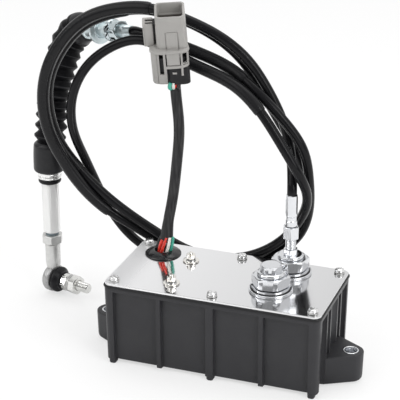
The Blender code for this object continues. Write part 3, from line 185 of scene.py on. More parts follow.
bandRamp = nodes.new("ShaderNodeValToRGB")
bandRamp.color_ramp.elements[0].position = 0.28
bandRamp.color_ramp.elements[0].color = (stageSet["bandLevel"],) * 3 + (1,)
bandRamp.color_ramp.elements[1].position = 0.5
bandRamp.color_ramp.elements[1].color = (1, 1, 1, 1)
links.new(bands.outputs["Fac"], bandRamp.inputs[0])
weigh = nodes.new("ShaderNodeMapRange")  # the bands fade out towards the zenith
weigh.inputs["From Min"].default_value = 0.1
weigh.inputs["From Max"].default_value = 0.45
weigh.inputs["To Min"].default_value = 1.0
weigh.inputs["To Max"].default_value = 0.0
links.new(split.outputs["Z"], weigh.inputs["Value"])
mixBands = nodes.new("ShaderNodeMix")
mixBands.data_type = "RGBA"
mixBands.blend_type = "MULTIPLY"
links.new(weigh.outputs[0], mixBands.inputs[0])
links.new(ramp.outputs[0], mixBands.inputs[6])
links.new(bandRamp.outputs["Color"], mixBands.inputs[7])
links.new(mixBands.outputs[2], room.inputs["Color"])
path = nodes.new("ShaderNodeLightPath")
choose = nodes.new("ShaderNodeMixShader")
links.new(path.outputs["Is Camera Ray"], choose.inputs[0])
links.new(room.outputs[0], choose.inputs[1])
links.new(plain.outputs[0], choose.inputs[2])
links.new(choose.outputs[0], worldOut.inputs["Surface"])
bpy.context.scene.view_settings.view_transform = "Standard"
print("stage 1: camera, floor and light")


# Materials: every surface gets fine grain and uneven gloss
def surface(name, color, metallic, roughness, grain=900.0, bump=0.05, uneven=0.08, mottle=0.0, scale=40.0, specular=0.5, dust=0.0, stretch=None):
    made, nodes, links = nodeMaterial(name)
    shader = nodes["Principled BSDF"]
    shader.inputs["Metallic"].default_value = metallic
    shader.inputs["Specular IOR Level"].default_value = specular
    coords = nodes.new("ShaderNodeTexCoord")
    where = coords.outputs["Object"]
    if stretch:
        mapping = nodes.new("ShaderNodeMapping")
        mapping.inputs["Scale"].default_value = stretch
        links.new(where, mapping.inputs["Vector"])
        where = mapping.outputs["Vector"]

    def noise(size, detail=3.0):
        node = nodes.new("ShaderNodeTexNoise")
        node.inputs["Scale"].default_value = size
        node.inputs["Detail"].default_value = detail
        links.new(where, node.inputs["Vector"])
        return node.outputs["Fac"]

    broad = noise(scale)
    gloss = nodes.new("ShaderNodeMapRange")
    gloss.inputs["From Min"].default_value = 0.3
    gloss.inputs["From Max"].default_value = 0.7
    gloss.inputs["To Min"].default_value = max(roughness - uneven, 0.02)
    gloss.inputs["To Max"].default_value = roughness + uneven
    links.new(broad, gloss.inputs["Value"])
    links.new(gloss.outputs[0], shader.inputs["Roughness"])
    if mottle or dust:
        mix = nodes.new("ShaderNodeMix")
        mix.data_type = "RGBA"
        lighter = [min(1, c * (1 + mottle) + dust) for c in color]
        mix.inputs[6].default_value = (*color, 1)
        mix.inputs[7].default_value = (*lighter, 1)
        spread = nodes.new("ShaderNodeMapRange")
        spread.inputs["From Min"].default_value = 0.42
        spread.inputs["From Max"].default_value = 0.68
        links.new(noise(scale * 2.3, 6.0), spread.inputs["Value"])
        links.new(spread.outputs[0], mix.inputs[0])
        links.new(mix.outputs[2], shader.inputs["Base Color"])
    else:
        shader.inputs["Base Color"].default_value = (*color, 1)
    if bump:
        rough = nodes.new("ShaderNodeBump")
        rough.inputs["Strength"].default_value = bump
        rough.inputs["Distance"].default_value = 0.0004
        links.new(noise(grain, 2.0), rough.inputs["Height"])
        links.new(rough.outputs["Normal"], shader.inputs["Normal"])
    return made


def lidSurface(name, left, middle, right):
    made, nodes, links = nodeMaterial(name)
    shader = nodes["Principled BSDF"]
    shader.inputs["Metallic"].default_value = 1.0
    coords = nodes.new("ShaderNodeTexCoord")
    split = nodes.new("ShaderNodeSeparateXYZ")
    links.new(coords.outputs["Object"], split.inputs[0])
    gloss = nodes.new("ShaderNodeMapRange")  # satin near the left end, polished further on
    gloss.inputs["From Min"].default_value = -0.09
    gloss.inputs["From Max"].default_value = -0.06
    gloss.inputs["To Min"].default_value = 0.55
    gloss.inputs["To Max"].default_value = 0.09
    links.new(split.outputs["X"], gloss.inputs["Value"])
    mapping = nodes.new("ShaderNodeMapping")
    mapping.inputs["Scale"].default_value = (5, 160, 1)
    links.new(coords.outputs["Object"], mapping.inputs["Vector"])
    lines = nodes.new("ShaderNodeTexNoise")
    lines.inputs["Scale"].default_value = 6.0
    lines.inputs["Detail"].default_value = 4.0
    links.new(mapping.outputs["Vector"], lines.inputs["Vector"])
    stir = nodes.new("ShaderNodeMath")
    stir.operation = "MULTIPLY_ADD"
    stir.inputs[1].default_value = 0.05
    links.new(lines.outputs["Fac"], stir.inputs[0])
    links.new(gloss.outputs[0], stir.inputs[2])
    links.new(stir.outputs[0], shader.inputs["Roughness"])
    # base colour runs from light at the left end to darker at the right, a painted reflection on the steel
    reflectionShades = nodes.new("ShaderNodeValToRGB")
    for spot, shade in ((0.0, left), (0.55, middle), (1.0, right)):
        mark = reflectionShades.color_ramp.elements[0] if spot == 0 else reflectionShades.color_ramp.elements[1] if spot == 1 else reflectionShades.color_ramp.elements.new(spot)
        mark.position = spot
        mark.color = (shade, shade, shade * 1.01, 1)
    reach = nodes.new("ShaderNodeMapRange")
    reach.inputs["From Min"].default_value = -0.09
    reach.inputs["From Max"].default_value = 0.09
    links.new(split.outputs["X"], reach.inputs["Value"])
    links.new(reach.outputs[0], reflectionShades.inputs[0])
    links.new(reflectionShades.outputs["Color"], shader.inputs["Base Color"])
    return made


paints = {
    "housing": surface("housing_look", (0.032, 0.032, 0.035), 0.0, 0.4, grain=2600, bump=0.1, uneven=0.05, specular=0.28, dust=0.003, scale=30),
    "gasket": surface("gasket_look", (0.012, 0.012, 0.013), 0.0, 0.3, grain=900, bump=0.06, uneven=0.06, specular=0.3, scale=60),
    # the lid's left, middle and right shades are painted reflection
    "lid": lidSurface("lid_look", 0.88, 0.85, 0.68),
    "zinc": surface("zinc_look", (0.72, 0.73, 0.75), 1.0, 0.19, grain=500, bump=0.012, uneven=0.04, scale=120),
    "screwZinc": surface("screw_zinc_look", (0.76, 0.76, 0.76), 1.0, 0.22, grain=600, bump=0.02, uneven=0.05, scale=120),
    "glandZinc": surface("gland_zinc_look", (0.7, 0.71, 0.73), 1.0, 0.13, grain=600, bump=0.004, uneven=0.03, scale=90),
    "studZinc": surface("stud_zinc_look", (0.74, 0.74, 0.72), 1.0, 0.2, grain=600, bump=0.03, uneven=0.06, scale=150, mottle=0.1),
    "hubZinc": surface("hub_zinc_look", (0.68, 0.76, 0.78), 0.9, 0.34, grain=600, bump=0.01, uneven=0.04, scale=90),
    "nutZinc": surface("nut_zinc_look", (0.52, 0.58, 0.6), 1.0, 0.14, grain=600, bump=0.006, uneven=0.03, scale=90),
    "dullZinc": surface("dull_zinc_look", (0.62, 0.62, 0.61), 0.75, 0.42, grain=700, bump=0.03, uneven=0.06, scale=150, mottle=0.05),
    "paleZinc": surface("pale_zinc_look", (0.88, 0.88, 0.87), 0.45, 0.45, grain=700, bump=0.02, uneven=0.06, scale=90),
    "ringZinc": surface("ring_zinc_look", (0.86, 0.86, 0.85), 0.85, 0.26, grain=700, bump=0.02, uneven=0.05, scale=90),
    "castZinc": surface("cast_zinc_look", (0.42, 0.42, 0.42), 0.7, 0.46, grain=900, bump=0.12, uneven=0.08, scale=110, mottle=0.12),
    "shankZinc": surface("shank_zinc_look", (0.62, 0.62, 0.61), 0.85, 0.36, grain=900, bump=0.08, uneven=0.08, scale=110, mottle=0.1),
    "threadZinc": surface("thread_zinc_look", (0.2, 0.24, 0.26), 0.8, 0.3, grain=900, bump=0.2, scale=110),
    "boltZinc": surface("bolt_zinc_look", (0.8, 0.78, 0.74), 1.0, 0.14, grain=500, bump=0.03, uneven=0.06, scale=150),
    "cable": surface("cable_look", (0.0075, 0.0075, 0.0085), 0.0, 0.16, grain=300, bump=0.02, uneven=0.04, specular=0.16, scale=60),
    "sleeve": surface("sleeve_look", (0.01, 0.01, 0.011), 0.0, 0.26, grain=400, bump=0.04, uneven=0.05, specular=0.2, scale=60),
    "glossRubber": surface("gloss_rubber_look", (0.009, 0.009, 0.0105), 0.0, 0.2, grain=1500, bump=0.03, uneven=0.05, specular=0.5, scale=70),
    "rubber": surface("rubber_look", (0.008, 0.008, 0.0095), 0.0, 0.34, grain=1500, bump=0.06, uneven=0.08, specular=0.22, scale=70, dust=0.003),
    "bellows": surface("bellows_look", (0.0035, 0.0035, 0.0045), 0.0, 0.42, grain=1500, bump=0.05, uneven=0.06, specular=0.08, scale=70, dust=0.002),
    "cuff": surface("cuff_look", (0.018, 0.018, 0.02), 0.0, 0.36, grain=1500, bump=0.08, uneven=0.08, specular=0.25, scale=70, dust=0.006),
    # ridge paint: lighter rubber for the crests of the bellows folds, a painted highlight
    "ridge": surface("ridge_highlight_look", (0.014, 0.014, 0.016), 0.0, 0.4, grain=1500, bump=0.06, uneven=0.06, specular=0.2, scale=70, dust=0.01),
    "loom": surface("loom_look", (0.013, 0.013, 0.014), 0.0, 0.42, grain=520, bump=0.5, uneven=0.06, specular=0.25, scale=300, dust=0.03, stretch=(1, 1, 0.07)),
    "gray": surface("gray_look", (0.36, 0.35, 0.335), 0.0, 0.4, grain=1500, bump=0.04, uneven=0.05, specular=0.35, scale=60, dust=0.01),
    "ledge": surface("ledge_look", (0.165, 0.148, 0.136), 0.0, 0.45, grain=1500, bump=0.05, specular=0.3),
    "black": surface("black_look", (0.012, 0.012, 0.013), 0.0, 0.4, grain=1500, bump=0.05, specular=0.25),
    "red": surface("red_look", (0.8, 0.055, 0.035), 0.0, 0.32, bump=0.02),
    "white": surface("white_look", (0.9, 0.89, 0.83), 0.0, 0.32, bump=0.02),
    "green": surface("green_look", (0.06, 0.42, 0.31), 0.0, 0.32, bump=0.02),
    "acetal": surface("acetal_look", (0.78, 0.77, 0.72), 0.0, 0.4),
    "brass": surface("brass_look", (0.68, 0.5, 0.22), 1.0, 0.3),
    "board": surface("board_look", (0.03, 0.2, 0.08), 0.0, 0.35, mottle=0.3, scale=200),
}


def dress(obj, paint, body=still, nodes=(), sharp=38):
    if obj.type == "MESH":
        obj.data.materials.clear()
        obj.data.shade_smooth()
        obj.data.set_sharp_from_angle(angle=math.radians(sharp))
    obj.data.materials.append(paints[paint])
    if body:
        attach(obj, body)
    if nodes:
        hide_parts(*nodes)
    return obj


def repaint(node, paint):
    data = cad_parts[node].data
    data.materials.clear()
    data.materials.append(paints[paint])


# Shapes
def meshPiece(name, points, faces):
    mesh = bpy.data.meshes.new(name)
    mesh.from_pydata(points, [], faces)
    bm = bmesh.new()
    bm.from_mesh(mesh)
    bmesh.ops.remove_doubles(bm, verts=bm.verts, dist=1e-7)
    bmesh.ops.recalc_face_normals(bm, faces=bm.faces)
    bm.to_mesh(mesh)
    bm.free()
    return linked(name, mesh)


def rounded(profile, amount, closed=False):
    count = len(profile)
    found = []
    for i, corner in enumerate(profile):
        if not closed and i in (0, count - 1):
            found.append(corner)
            continue
        here = Vector(corner)
        before = Vector(profile[i - 1]) - here
        after = Vector(profile[(i + 1) % count]) - here
        if before.length < 1e-9 or after.length < 1e-9:
            continue
        cut = min(amount, before.length * 0.42, after.length * 0.42)
        first = here + before.normalized() * cut
        last = here + after.normalized() * cut
        found += [tuple(first), tuple((first + last) * 0.29 + here * 0.42), tuple(last)]
    return found


def turned(name, profile, place, steps=64, closed=False, soft=0.25, wave=None):
    shape = rounded(profile, soft, closed) if soft else list(profile)
    if closed:
        shape = shape + [shape[0]]
    points, faces = [], []
    count = len(shape)
    for step in range(steps):
        angle = 2 * math.pi * step / steps
        for radius, height in shape:
            spread = radius * (wave(angle, height) if wave else 1)
            points.append(place @ Vector((spread * math.cos(angle) * mm, spread * math.sin(angle) * mm, height * mm)))
    for step in range(steps):
        following = (step + 1) % steps
        for i in range(count - 1):
            faces.append((step * count + i, following * count + i, following * count + i + 1, step * count + i + 1))
    return meshPiece(name, points, faces)


def hexNut(name, flats, bore, low, high, place, spin=0.0, chamfer=0.5, lower=0.5, dish=0.0):
    steps = 96
    corner = flats / math.sqrt(3)
    inner = flats / 2 - 0.25
    points, faces = [], []
    for step in range(steps):
        angle = 2 * math.pi * step / steps
        local = (angle + math.pi / 6) % (math.pi / 3) - math.pi / 6
        radius = flats / 2 / math.cos(local)
        radius = min(radius, corner - 0.12)
        fall = max(radius - inner, 0) * chamfer
        climb = max(radius - inner, 0) * lower
        spots = [
            (bore + 0.5, high - dish), (bore, high - dish - 0.5), (bore, low + 0.4), (bore + 0.4, low),
            (inner - 0.15, low), (inner, low + 0.02), (radius - 0.12, low + climb), (radius, low + climb + 0.15),
            (radius, high - fall - 0.15), (radius - 0.12, high - fall), (inner, high - 0.02), (inner - 0.15, high),
        ]
        if not bore:
            spots[0], spots[1], spots[2], spots[3] = (0, high - dish), (0, high - dish), (0, low), (0, low)
        turnBy = angle + math.radians(spin)
        for r, z in spots:
            points.append(place @ Vector((r * math.cos(turnBy) * mm, r * math.sin(turnBy) * mm, z * mm)))
    count = 12
    for step in range(steps):
        following = (step + 1) % steps
        for i in range(count):
            j = (i + 1) % count
            if not bore and i == 1:
                continue
            faces.append((step * count + i, following * count + i, following * count + j, step * count + j))
    return meshPiece(name, points, faces)


def insetOutline(outline, amount):
    count = len(outline)
    found = []
    for i in range(count):
        before = Vector(outline[i]) - Vector(outline[i - 1])
        after = Vector(outline[(i + 1) % count]) - Vector(outline[i])
        normal = Vector((0.0, 0.0))
        for edge in (before, after):
            if edge.length > 1e-9:
                normal += Vector((-edge.y, edge.x)).normalized()
        normal = normal.normalized() if normal.length > 1e-9 else normal
        found.append((outline[i][0] + normal.x * amount, outline[i][1] + normal.y * amount))
    return found


def stacked(name, outline, levels, place=None, capTop=True):
    place = place or Matrix.Identity(4)
    points, faces = [], []
    count = len(outline)
    for height, inset in levels:
        for x, y in insetOutline(outline, inset):
            points.append(place @ Vector((x * mm, y * mm, height * mm)))
    for level in range(len(levels) - 1):
        a, b = level * count, (level + 1) * count
        for i in range(count):
            j = (i + 1) % count
            faces.append((a + i, a + j, b + j, b + i))
    faces.append(tuple(reversed(range(count))))
    if capTop:
        faces.append(tuple(range((len(levels) - 1) * count, len(levels) * count)))
    return meshPiece(name, points, faces)


def roundRect(halfX, halfY, radius, steps=8, shift=(0, 0)):
    points = []
    for corner in range(4):
        signX = (1, -1, -1, 1)[corner]
        signY = (1, 1, -1, -1)[corner]
        for step in range(steps + 1):
            angle = math.pi / 2 * (corner + step / steps)
            x = signX * (halfX - radius) + radius * math.cos(angle)
            y = signY * (halfY - radius) + radius * math.sin(angle)
            points.append((x + shift[0], y + shift[1]))
    return points


def carve(obj, cutter, operation="DIFFERENCE"):
    step = obj.modifiers.new("cut", "BOOLEAN")
    step.operation = operation
    step.solver = "EXACT"
    step.object = cutter
    bpy.context.view_layer.update()
    graph = bpy.context.evaluated_depsgraph_get()
    mesh = bpy.data.meshes.new_from_object(obj.evaluated_get(graph), depsgraph=graph)
    obj.modifiers.clear()
    obj.data = mesh
    bpy.data.objects.remove(cutter)
    return obj


def along(origin, direction, side=None):
    up = Vector(direction).normalized()
    first = Vector(side) if side else up.orthogonal()
    first = (first - first.dot(up) * up).normalized()
    made = Matrix((first, up.cross(first), up)).transposed().to_4x4()
    made.translation = Vector(origin) * mm
    return made


def upright(x, y, z=0.0):
    return Matrix.Translation(Vector((x, y, z)) * mm)


def tube(name, path, radius, paint, resolution=8, body=still, nodes=(), scaled=None):
    data = bpy.data.curves.new(name, "CURVE")
    data.dimensions = "3D"
    data.bevel_depth = radius * mm
    data.bevel_resolution = resolution
    data.use_fill_caps = True
    spline = data.splines.new("POLY")
    spline.points.add(len(path) - 1)
    for i, (point, spot) in enumerate(zip(spline.points, path)):
        point.co = (*spot, 1)
        if scaled:
            point.radius = scaled(i / (len(path) - 1))
    return dress(linked(name, data), paint, body, nodes)


def smoothPath(points, count, shares=None):
    p = np.array(points, float)
    t = np.r_[0, np.cumsum(np.linalg.norm(np.diff(p, axis=0), axis=1))]
    n = len(p)
    h = np.diff(t)
    a = np.eye(n)
    b = np.zeros((n, 3))
    for i in range(1, n - 1):
        a[i, i - 1 : i + 2] = h[i - 1], 2 * (h[i - 1] + h[i]), h[i]
        b[i] = 6 * ((p[i + 1] - p[i]) / h[i] - (p[i] - p[i - 1]) / h[i - 1])
    bend = np.linalg.solve(a, b)
    at = np.linspace(0, t[-1], count) if shares is None else np.interp(shares, np.arange(n), t)
    k = np.clip(np.searchsorted(t, at, side="right") - 1, 0, n - 2)
    left = (t[k + 1] - at)[:, None]
    righter = (at - t[k])[:, None]
    step = h[k][:, None]
    curve = (bend[k] * left**3 + bend[k + 1] * righter**3) / (6 * step)
    curve += (p[k] / step - bend[k] * step / 6) * left
    curve += (p[k + 1] / step - bend[k + 1] * step / 6) * righter
    return [Vector(q) * mm for q in curve]


# Control cable: the CAD's own route
cableSet = {"diameter": 7.9, "exit": (44.4, 25.6, 139.8), "end": (-100.3, 53, 250.1)}
cableRoute = [
    (44.4, 25.6, 143.8), (40, 36.5, 164), (31, 43, 191), (18, 43.5, 216.5),
    (1, 43.5, 239.5), (-22, 42, 257), (-48, 40.5, 268), (-76.5, 39.5, 274.5),
    (-105, 38, 272.5), (-131.5, 35, 263), (-152.5, 32, 243.5), (-166, 30, 218.5),
    (-171, 29.5, 190), (-167, 31, 161.5), (-156, 35, 135.5), (-141.5, 41, 111.5),
    (-122.5, 48, 91.5), (-98.5, 53.5, 76), (-74, 59, 62), (-46.5, 62, 55),
    (-17.5, 62.5, 55), (9, 63, 66), (30.5, 63, 85), (45, 59.5, 109.5),
    (48.5, 54, 137), (40.5, 51.5, 164.5), (25, 52, 188.5), (9.5, 52.5, 213),
    (-7, 51.5, 236.5), (-30, 50.5, 254), (-56, 49, 265), (-84.5, 47.5, 270.5),
    (-113, 46, 266), (-138.5, 43.5, 254), (-157.5, 41, 233), (-169.5, 39.5, 206.5),
    (-171.5, 40.5, 178), (-164, 42.5, 150.5), (-148, 46, 127), (-127, 47, 107.5),
    (-103.5, 49, 90.5), (-78.5, 50, 76.5), (-52, 50, 65.5), (-23.5, 50.5, 62.5),
    (4.5, 50, 70), (28, 49.5, 86), (45, 44, 108.5), (54.5, 34, 133.5),
    (50.5, 21.5, 159), (36, 20, 183), (17.5, 25, 205), (-5, 31, 221.5),
    (-32, 35.5, 230.5), (-59.5, 38, 239.5), (-86.5, 37.5, 248.5),
    (-113.5, 34.5, 239.5), (-134.5, 32.5, 220), (-146, 32, 194),
    (-148.5, 37, 166), (-146, 49, 140), (-140.5, 59.5, 113.5),
    (-129.5, 63.5, 87.5), (-110.5, 62, 66), (-85, 58.5, 53.5),
    (-57.5, 55.5, 47), (-28.5, 54, 47.5), (-1, 54.5, 56), (23, 54.5, 71.5),
    (43, 54, 92.5), (52, 49, 119), (53.5, 41.5, 146.5), (49, 36.5, 174.5),
    (33, 33.5, 198), (11.5, 36, 217), (-12.5, 42.5, 231), (-39.5, 44.5, 240.5),
    (-68, 44.5, 248), (-96.8, 51.2, 250.9),
]
cablePath = smoothPath(cableRoute, 560)
cablePath = [Vector(cableSet["exit"]) * mm, *cablePath, Vector(cableSet["end"]) * mm]
cable = tube("cable_jacket", cablePath, cableSet["diameter"] / 2, "cable", nodes=["control_cable"])

# Loose sleeves on the cable, by point of the route
sleeves = [
    {"name": "sleeve_outer", "from": 7.1, "to": 16.0, "radius": 5.1},
    {"name": "sleeve_back", "from": 31.6, "to": 38.0, "radius": 4.7},
    {"name": "sleeve_inner", "from": 50.0, "to": 53.3, "radius": 4.9},
    {"name": "sleeve_lead", "from": 73.5, "to": 76.4, "radius": 4.9},
]
for entry in sleeves:
    shares = np.linspace(entry["from"], entry["to"], int((entry["to"] - entry["from"]) * 12))
    path = smoothPath(cableRoute, 0, shares)
    tube(entry["name"], path, entry["radius"], "sleeve", 8, scaled=lambda s: 1.0 if 0.004 < s < 0.996 else 0.93)

# Housing walls: one outline swept up, drawn in where the panels are
housingSet = {
    "halfX": 89.3, "halfY": 44.3, "corner": 5.0, "draft": 1.0, "bottom": 3.0, "top": 68.2,
    "rim": 3.6, "panel": 3.5, "column": 8.3, "middle": 3.3, "rib": 1.75, "ribAt": 42.5,
    "channelRadius": 10.5, "channelDepth": 4.2, "border": 2.6, "sideRibAt": 19.5, "sideRib": 1.5,
}
hs = housingSet


def panelDepth(position, edges):
    nearest = min(abs(position - e) for e in edges)
    return nearest


def frontDepth(x):
    reach = hs["halfX"] - hs["column"]
    inside = max(
        abs(x) - reach, hs["rib"] - abs(abs(x) - hs["ribAt"]), hs["middle"] - abs(x)
    )  # how far inside a column or rib this place is
    if inside >= 0:
        if abs(x) < hs["middle"]:
            return 0.55 * (x / hs["middle"]) ** 4
        return 0.0
    return hs["panel"] * min(1.0, -inside / 0.7) ** 0.6


def sideDepth(y):
    reach = hs["halfY"] - hs["column"]
    channel = math.sqrt(hs["channelRadius"] ** 2 - (hs["channelRadius"] - hs["channelDepth"]) ** 2)
    if abs(y) < channel:
        return math.sqrt(hs["channelRadius"] ** 2 - y * y) - hs["channelRadius"] + hs["channelDepth"]
    inside = max(
        abs(y) - reach, hs["sideRib"] - abs(abs(y) - hs["sideRibAt"]), channel + hs["border"] - abs(y)
    )
    return 0.0 if inside >= 0 else hs["panel"] * min(1.0, -inside / 0.7) ** 0.6


def places(limit, edges):
    found = {-limit, limit}
    for edge in edges:
        for d in (-0.9, -0.7, -0.45, -0.25, -0.1, -0.02, 0.02, 0.1, 0.25, 0.45, 0.7, 0.9):
            found.add(round(edge + d, 4))
    for x in np.arange(-limit, limit, 2.5):
        if all(abs(x - e) > 1.0 for e in edges):
            found.add(round(float(x), 4))
    return sorted(v for v in found if abs(v) <= limit)


reachX, reachY = hs["halfX"] - hs["column"], hs["halfY"] - hs["column"]
channelHalf = math.sqrt(hs["channelRadius"] ** 2 - (hs["channelRadius"] - hs["channelDepth"]) ** 2)
edgesX = [s * v for s in (-1, 1) for v in (reachX, hs["ribAt"] - hs["rib"], hs["ribAt"] + hs["rib"], hs["middle"])]
edgesY = [
    s * v
    for s in (-1, 1)
    for v in (reachY, hs["sideRibAt"] - hs["sideRib"], hs["sideRibAt"] + hs["sideRib"], channelHalf, channelHalf + hs["border"])
]
alongX = places(hs["halfX"] - hs["corner"], edgesX)
alongY = places(hs["halfY"] - hs["corner"], edgesY)


def wallOutline(share, inset):
    hx, hy, r = hs["halfX"] - inset, hs["halfY"] - inset, hs["corner"]
    points = [(x, -hy + frontDepth(x) * share) for x in alongX]
    for step in range(1, 8):
        angle = -math.pi / 2 + math.pi / 2 * step / 8
        points.append((hx - r + r * math.cos(angle), -hy + r + r * math.sin(angle)))
    points += [(hx - sideDepth(y) * share, y) for y in alongY]
    for step in range(1, 8):
        angle = math.pi / 2 * step / 8
        points.append((hx - r + r * math.cos(angle), hy - r + r * math.sin(angle)))
    points += [(x, hy - frontDepth(x) * share) for x in reversed(alongX)]
    for step in range(1, 8):
        angle = math.pi / 2 + math.pi / 2 * step / 8
        points.append((-hx + r + r * math.cos(angle), hy - r + r * math.sin(angle)))
    points += [(-hx + sideDepth(y) * share, y) for y in reversed(alongY)]
    for step in range(1, 8):
        angle = math.pi + math.pi / 2 * step / 8
        points.append((-hx + r + r * math.cos(angle), -hy + r + r * math.sin(angle)))
    return points


rimAt = hs["top"] - hs["rim"]
wallLevels = [
    (hs["bottom"], 1.0, 0.9), (hs["bottom"] + 0.3, 1.0, 0.35), (hs["bottom"] + 0.9, 1.0, 0.0), (18, 1.0, 0), (34, 1.0, 0),
    (50, 1.0, 0), (rimAt - 1.0, 1.0, 0), (rimAt - 0.5, 0.94, 0), (rimAt - 0.2, 0.75, 0), (rimAt, 0.4, 0), (rimAt + 0.1, 0.1, 0), (rimAt + 0.3, 0.0, 0),
    (hs["top"] - 1.0, 0.0, 0), (hs["top"] - 0.3, 0.0, 0.08), (hs["top"], 0.0, 0.35),
]
points, faces = [], []
for height, share, inset in wallLevels:
    lean = hs["draft"] * (hs["top"] - height) / (hs["top"] - hs["bottom"])
    ring = wallOutline(share, inset + lean)
    points += [Vector((x, y, height)) * mm for x, y in ring]
count = len(ring)
for level in range(len(wallLevels) - 1):
    for i in range(count):
        j = (i + 1) % count
        faces.append((level * count + i, level * count + j, (level + 1) * count + j, (level + 1) * count + i))
faces.append(tuple(range(count)))
faces.append(tuple(range((len(wallLevels) - 1) * count, len(wallLevels) * count)))
walls = dress(meshPiece("housing_walls", points, faces), "housing", nodes=["housing"], sharp=28)

earSet = {"centre": 103.3, "tip": 10.4, "rootHalf": 21.0, "rootX": 87.8, "bottom": 1.0, "top": 25.0, "bore": 6.6}
for side, sign in (("left", -1), ("right", 1)):
    run = earSet["centre"] - earSet["rootX"]
    reach = math.hypot(run, earSet["rootHalf"])
    lean = math.atan2(earSet["rootHalf"], run) - math.asin(earSet["tip"] / reach)
    outline = [(earSet["rootX"] - 6, -earSet["rootHalf"]), (earSet["rootX"], -earSet["rootHalf"])]
    for step in range(25):
        angle = lean - math.pi / 2 + (math.pi - 2 * lean) * step / 24
        outline.append((earSet["centre"] + earSet["tip"] * math.cos(angle), earSet["tip"] * math.sin(angle)))
    outline += [(earSet["rootX"], earSet["rootHalf"]), (earSet["rootX"] - 6, earSet["rootHalf"])]
    outline = [(sign * x, y) for x, y in outline][::sign]
    low, high = earSet["bottom"], earSet["top"]
    ear = stacked(
        "ear_" + side, outline,
        [(low, 2.4), (low + 0.5, 1.5), (low + 1.4, 0.85), (low + 3, 0.5), (high - 0.9, 0.0), (high - 0.4, 0.12), (high - 0.1, 0.45), (high, 0.9)],
    )
    bore = turned("bore", [(0, 40), (earSet["bore"], 40), (earSet["bore"], -10), (0, -10)], upright(sign * earSet["centre"], 0), 48, soft=0)
    dress(carve(ear, bore), "housing", sharp=28)
    collar = turned(
        "sleeve_" + side,
        [(5, 25.3), (6.45, 25.3), (6.45, 0.0), (5, 0.0)],
        upright(sign * earSet["centre"], 0), 56, closed=True, soft=0.45,
    )
    dress(collar, "zinc", nodes=["ear_bushing_" + side])

for x in (-83.3, 0, 83.3):
    for y in (-39.3, 39.3):
        outline = roundRect(2.9, 3.7, 2.2, shift=(x, y))
        foot = stacked(f"foot_{x:.0f}_{y:.0f}".replace("-", "m"), outline, [(0, 1.0), (0.25, 0.4), (0.9, 0.05), (3.4, 0)])
        dress(foot, "housing")
print("stage 3: housing")

# Lid, gasket and grommet
lidOutline = roundRect(89.2, 44.2, 6, 12)
dress(stacked("lid_steel", lidOutline, [(70, 0.3), (70.2, 0.06), (70.5, 0), (71.6, 0), (71.86, 0.08), (72, 0.3)]), "lid", nodes=["lid_plate"], sharp=25)
gasketOutline = roundRect(90.2, 45.2, 6.2, 12)
dress(stacked("gasket_edge", gasketOutline, [(68.3, 0.5), (68.5, 0.12), (68.8, 0), (69.3, 0), (69.7, 0.15), (69.95, 0.6)]), "gasket", nodes=["lid_gasket"])

grommet = turned(
    "grommet",
    [
        (4.6, 70), (4.6, 72.6), (6.6, 75.4), (7.4, 76.0), (8.4, 75.9), (11.2, 75.0), (13.6, 73.8), (14.7, 73.0), (15, 72.5), (14.9, 72.1), (12, 72.1), (12, 70), (4.6, 70),
    ],
    upright(-64.3, 23.7), soft=0.4,
)
dress(grommet, "glossRubber", nodes=["wire_grommet"])


# Screws of the lid
def splitWasher(name, inner, outer, low, high, place, spin, paint, body=still):
    steps = 56
    gap = math.radians(9)
    points, faces = [], []
    for step in range(steps + 1):
        share = step / steps
        angle = math.radians(spin) + gap / 2 + (2 * math.pi - gap) * share
        lift = 0.3 * (share - 0.5)
        for r, z in ((inner, low), (outer, low), (outer, high), (inner, high)):
            points.append(place @ Vector((r * math.cos(angle) * mm, r * math.sin(angle) * mm, (z + lift) * mm)))
    for step in range(steps):
        for i in range(4):
            j = (i + 1) % 4
            faces.append((step * 4 + i, step * 4 + j, step * 4 + 4 + j, step * 4 + 4 + i))
    faces += [(0, 1, 2, 3), tuple(steps * 4 + k for k in (3, 2, 1, 0))]
    return dress(meshPiece(name, points, faces), paint, body)


lidScrews = {
    "spots": [(-82, -37.5), (0, -36.5), (82, -37.5), (-82, 37.5), (0, 36.5), (82, 37.5)],
    "spins": [64, 12, 150, 98, 35, 121],
    "radius": 3.75, "top": 76.0, "washer": 4.2, "slot": 1.05, "slotDepth": 1.3,
}
for number, (spot, spin) in enumerate(zip(lidScrews["spots"], lidScrews["spins"]), 1):
    place = upright(*spot) @ Matrix.Rotation(math.radians(spin), 4, "Z")
    topZ, r = lidScrews["top"], lidScrews["radius"]
    head = turned(
        f"screw_head_{number}",
        [(0, topZ), (r - 1.3, topZ - 0.05), (r - 0.35, topZ - 0.55), (r, topZ - 1.2), (r, 73.35), (2, 73.35), (2, 62), (0, 62)],
        place, 48, soft=0.15,
    )
    w = lidScrews["slot"] / 2
    cutter = stacked("slot", [(-w, -6), (w, -6), (w, 6), (-w, 6)], [(topZ - lidScrews["slotDepth"], 0), (topZ + 2, 0)], place)
    dress(carve(head, cutter), "screwZinc", nodes=[f"lid_screw_{number}"])
    # black disc between head and spring washer: painted shade in the gap
    dress(turned(f"screw_shade_gap_{number}", [(0, 73.4), (3.4, 73.4), (3.4, 73.1), (0, 73.1)], place, 32, soft=0.04), "black")
    splitWasher(f"spring_washer_{number}", 2.2, lidScrews["washer"], 72.25, 73.2, upright(*spot), spin * 2, "dullZinc")

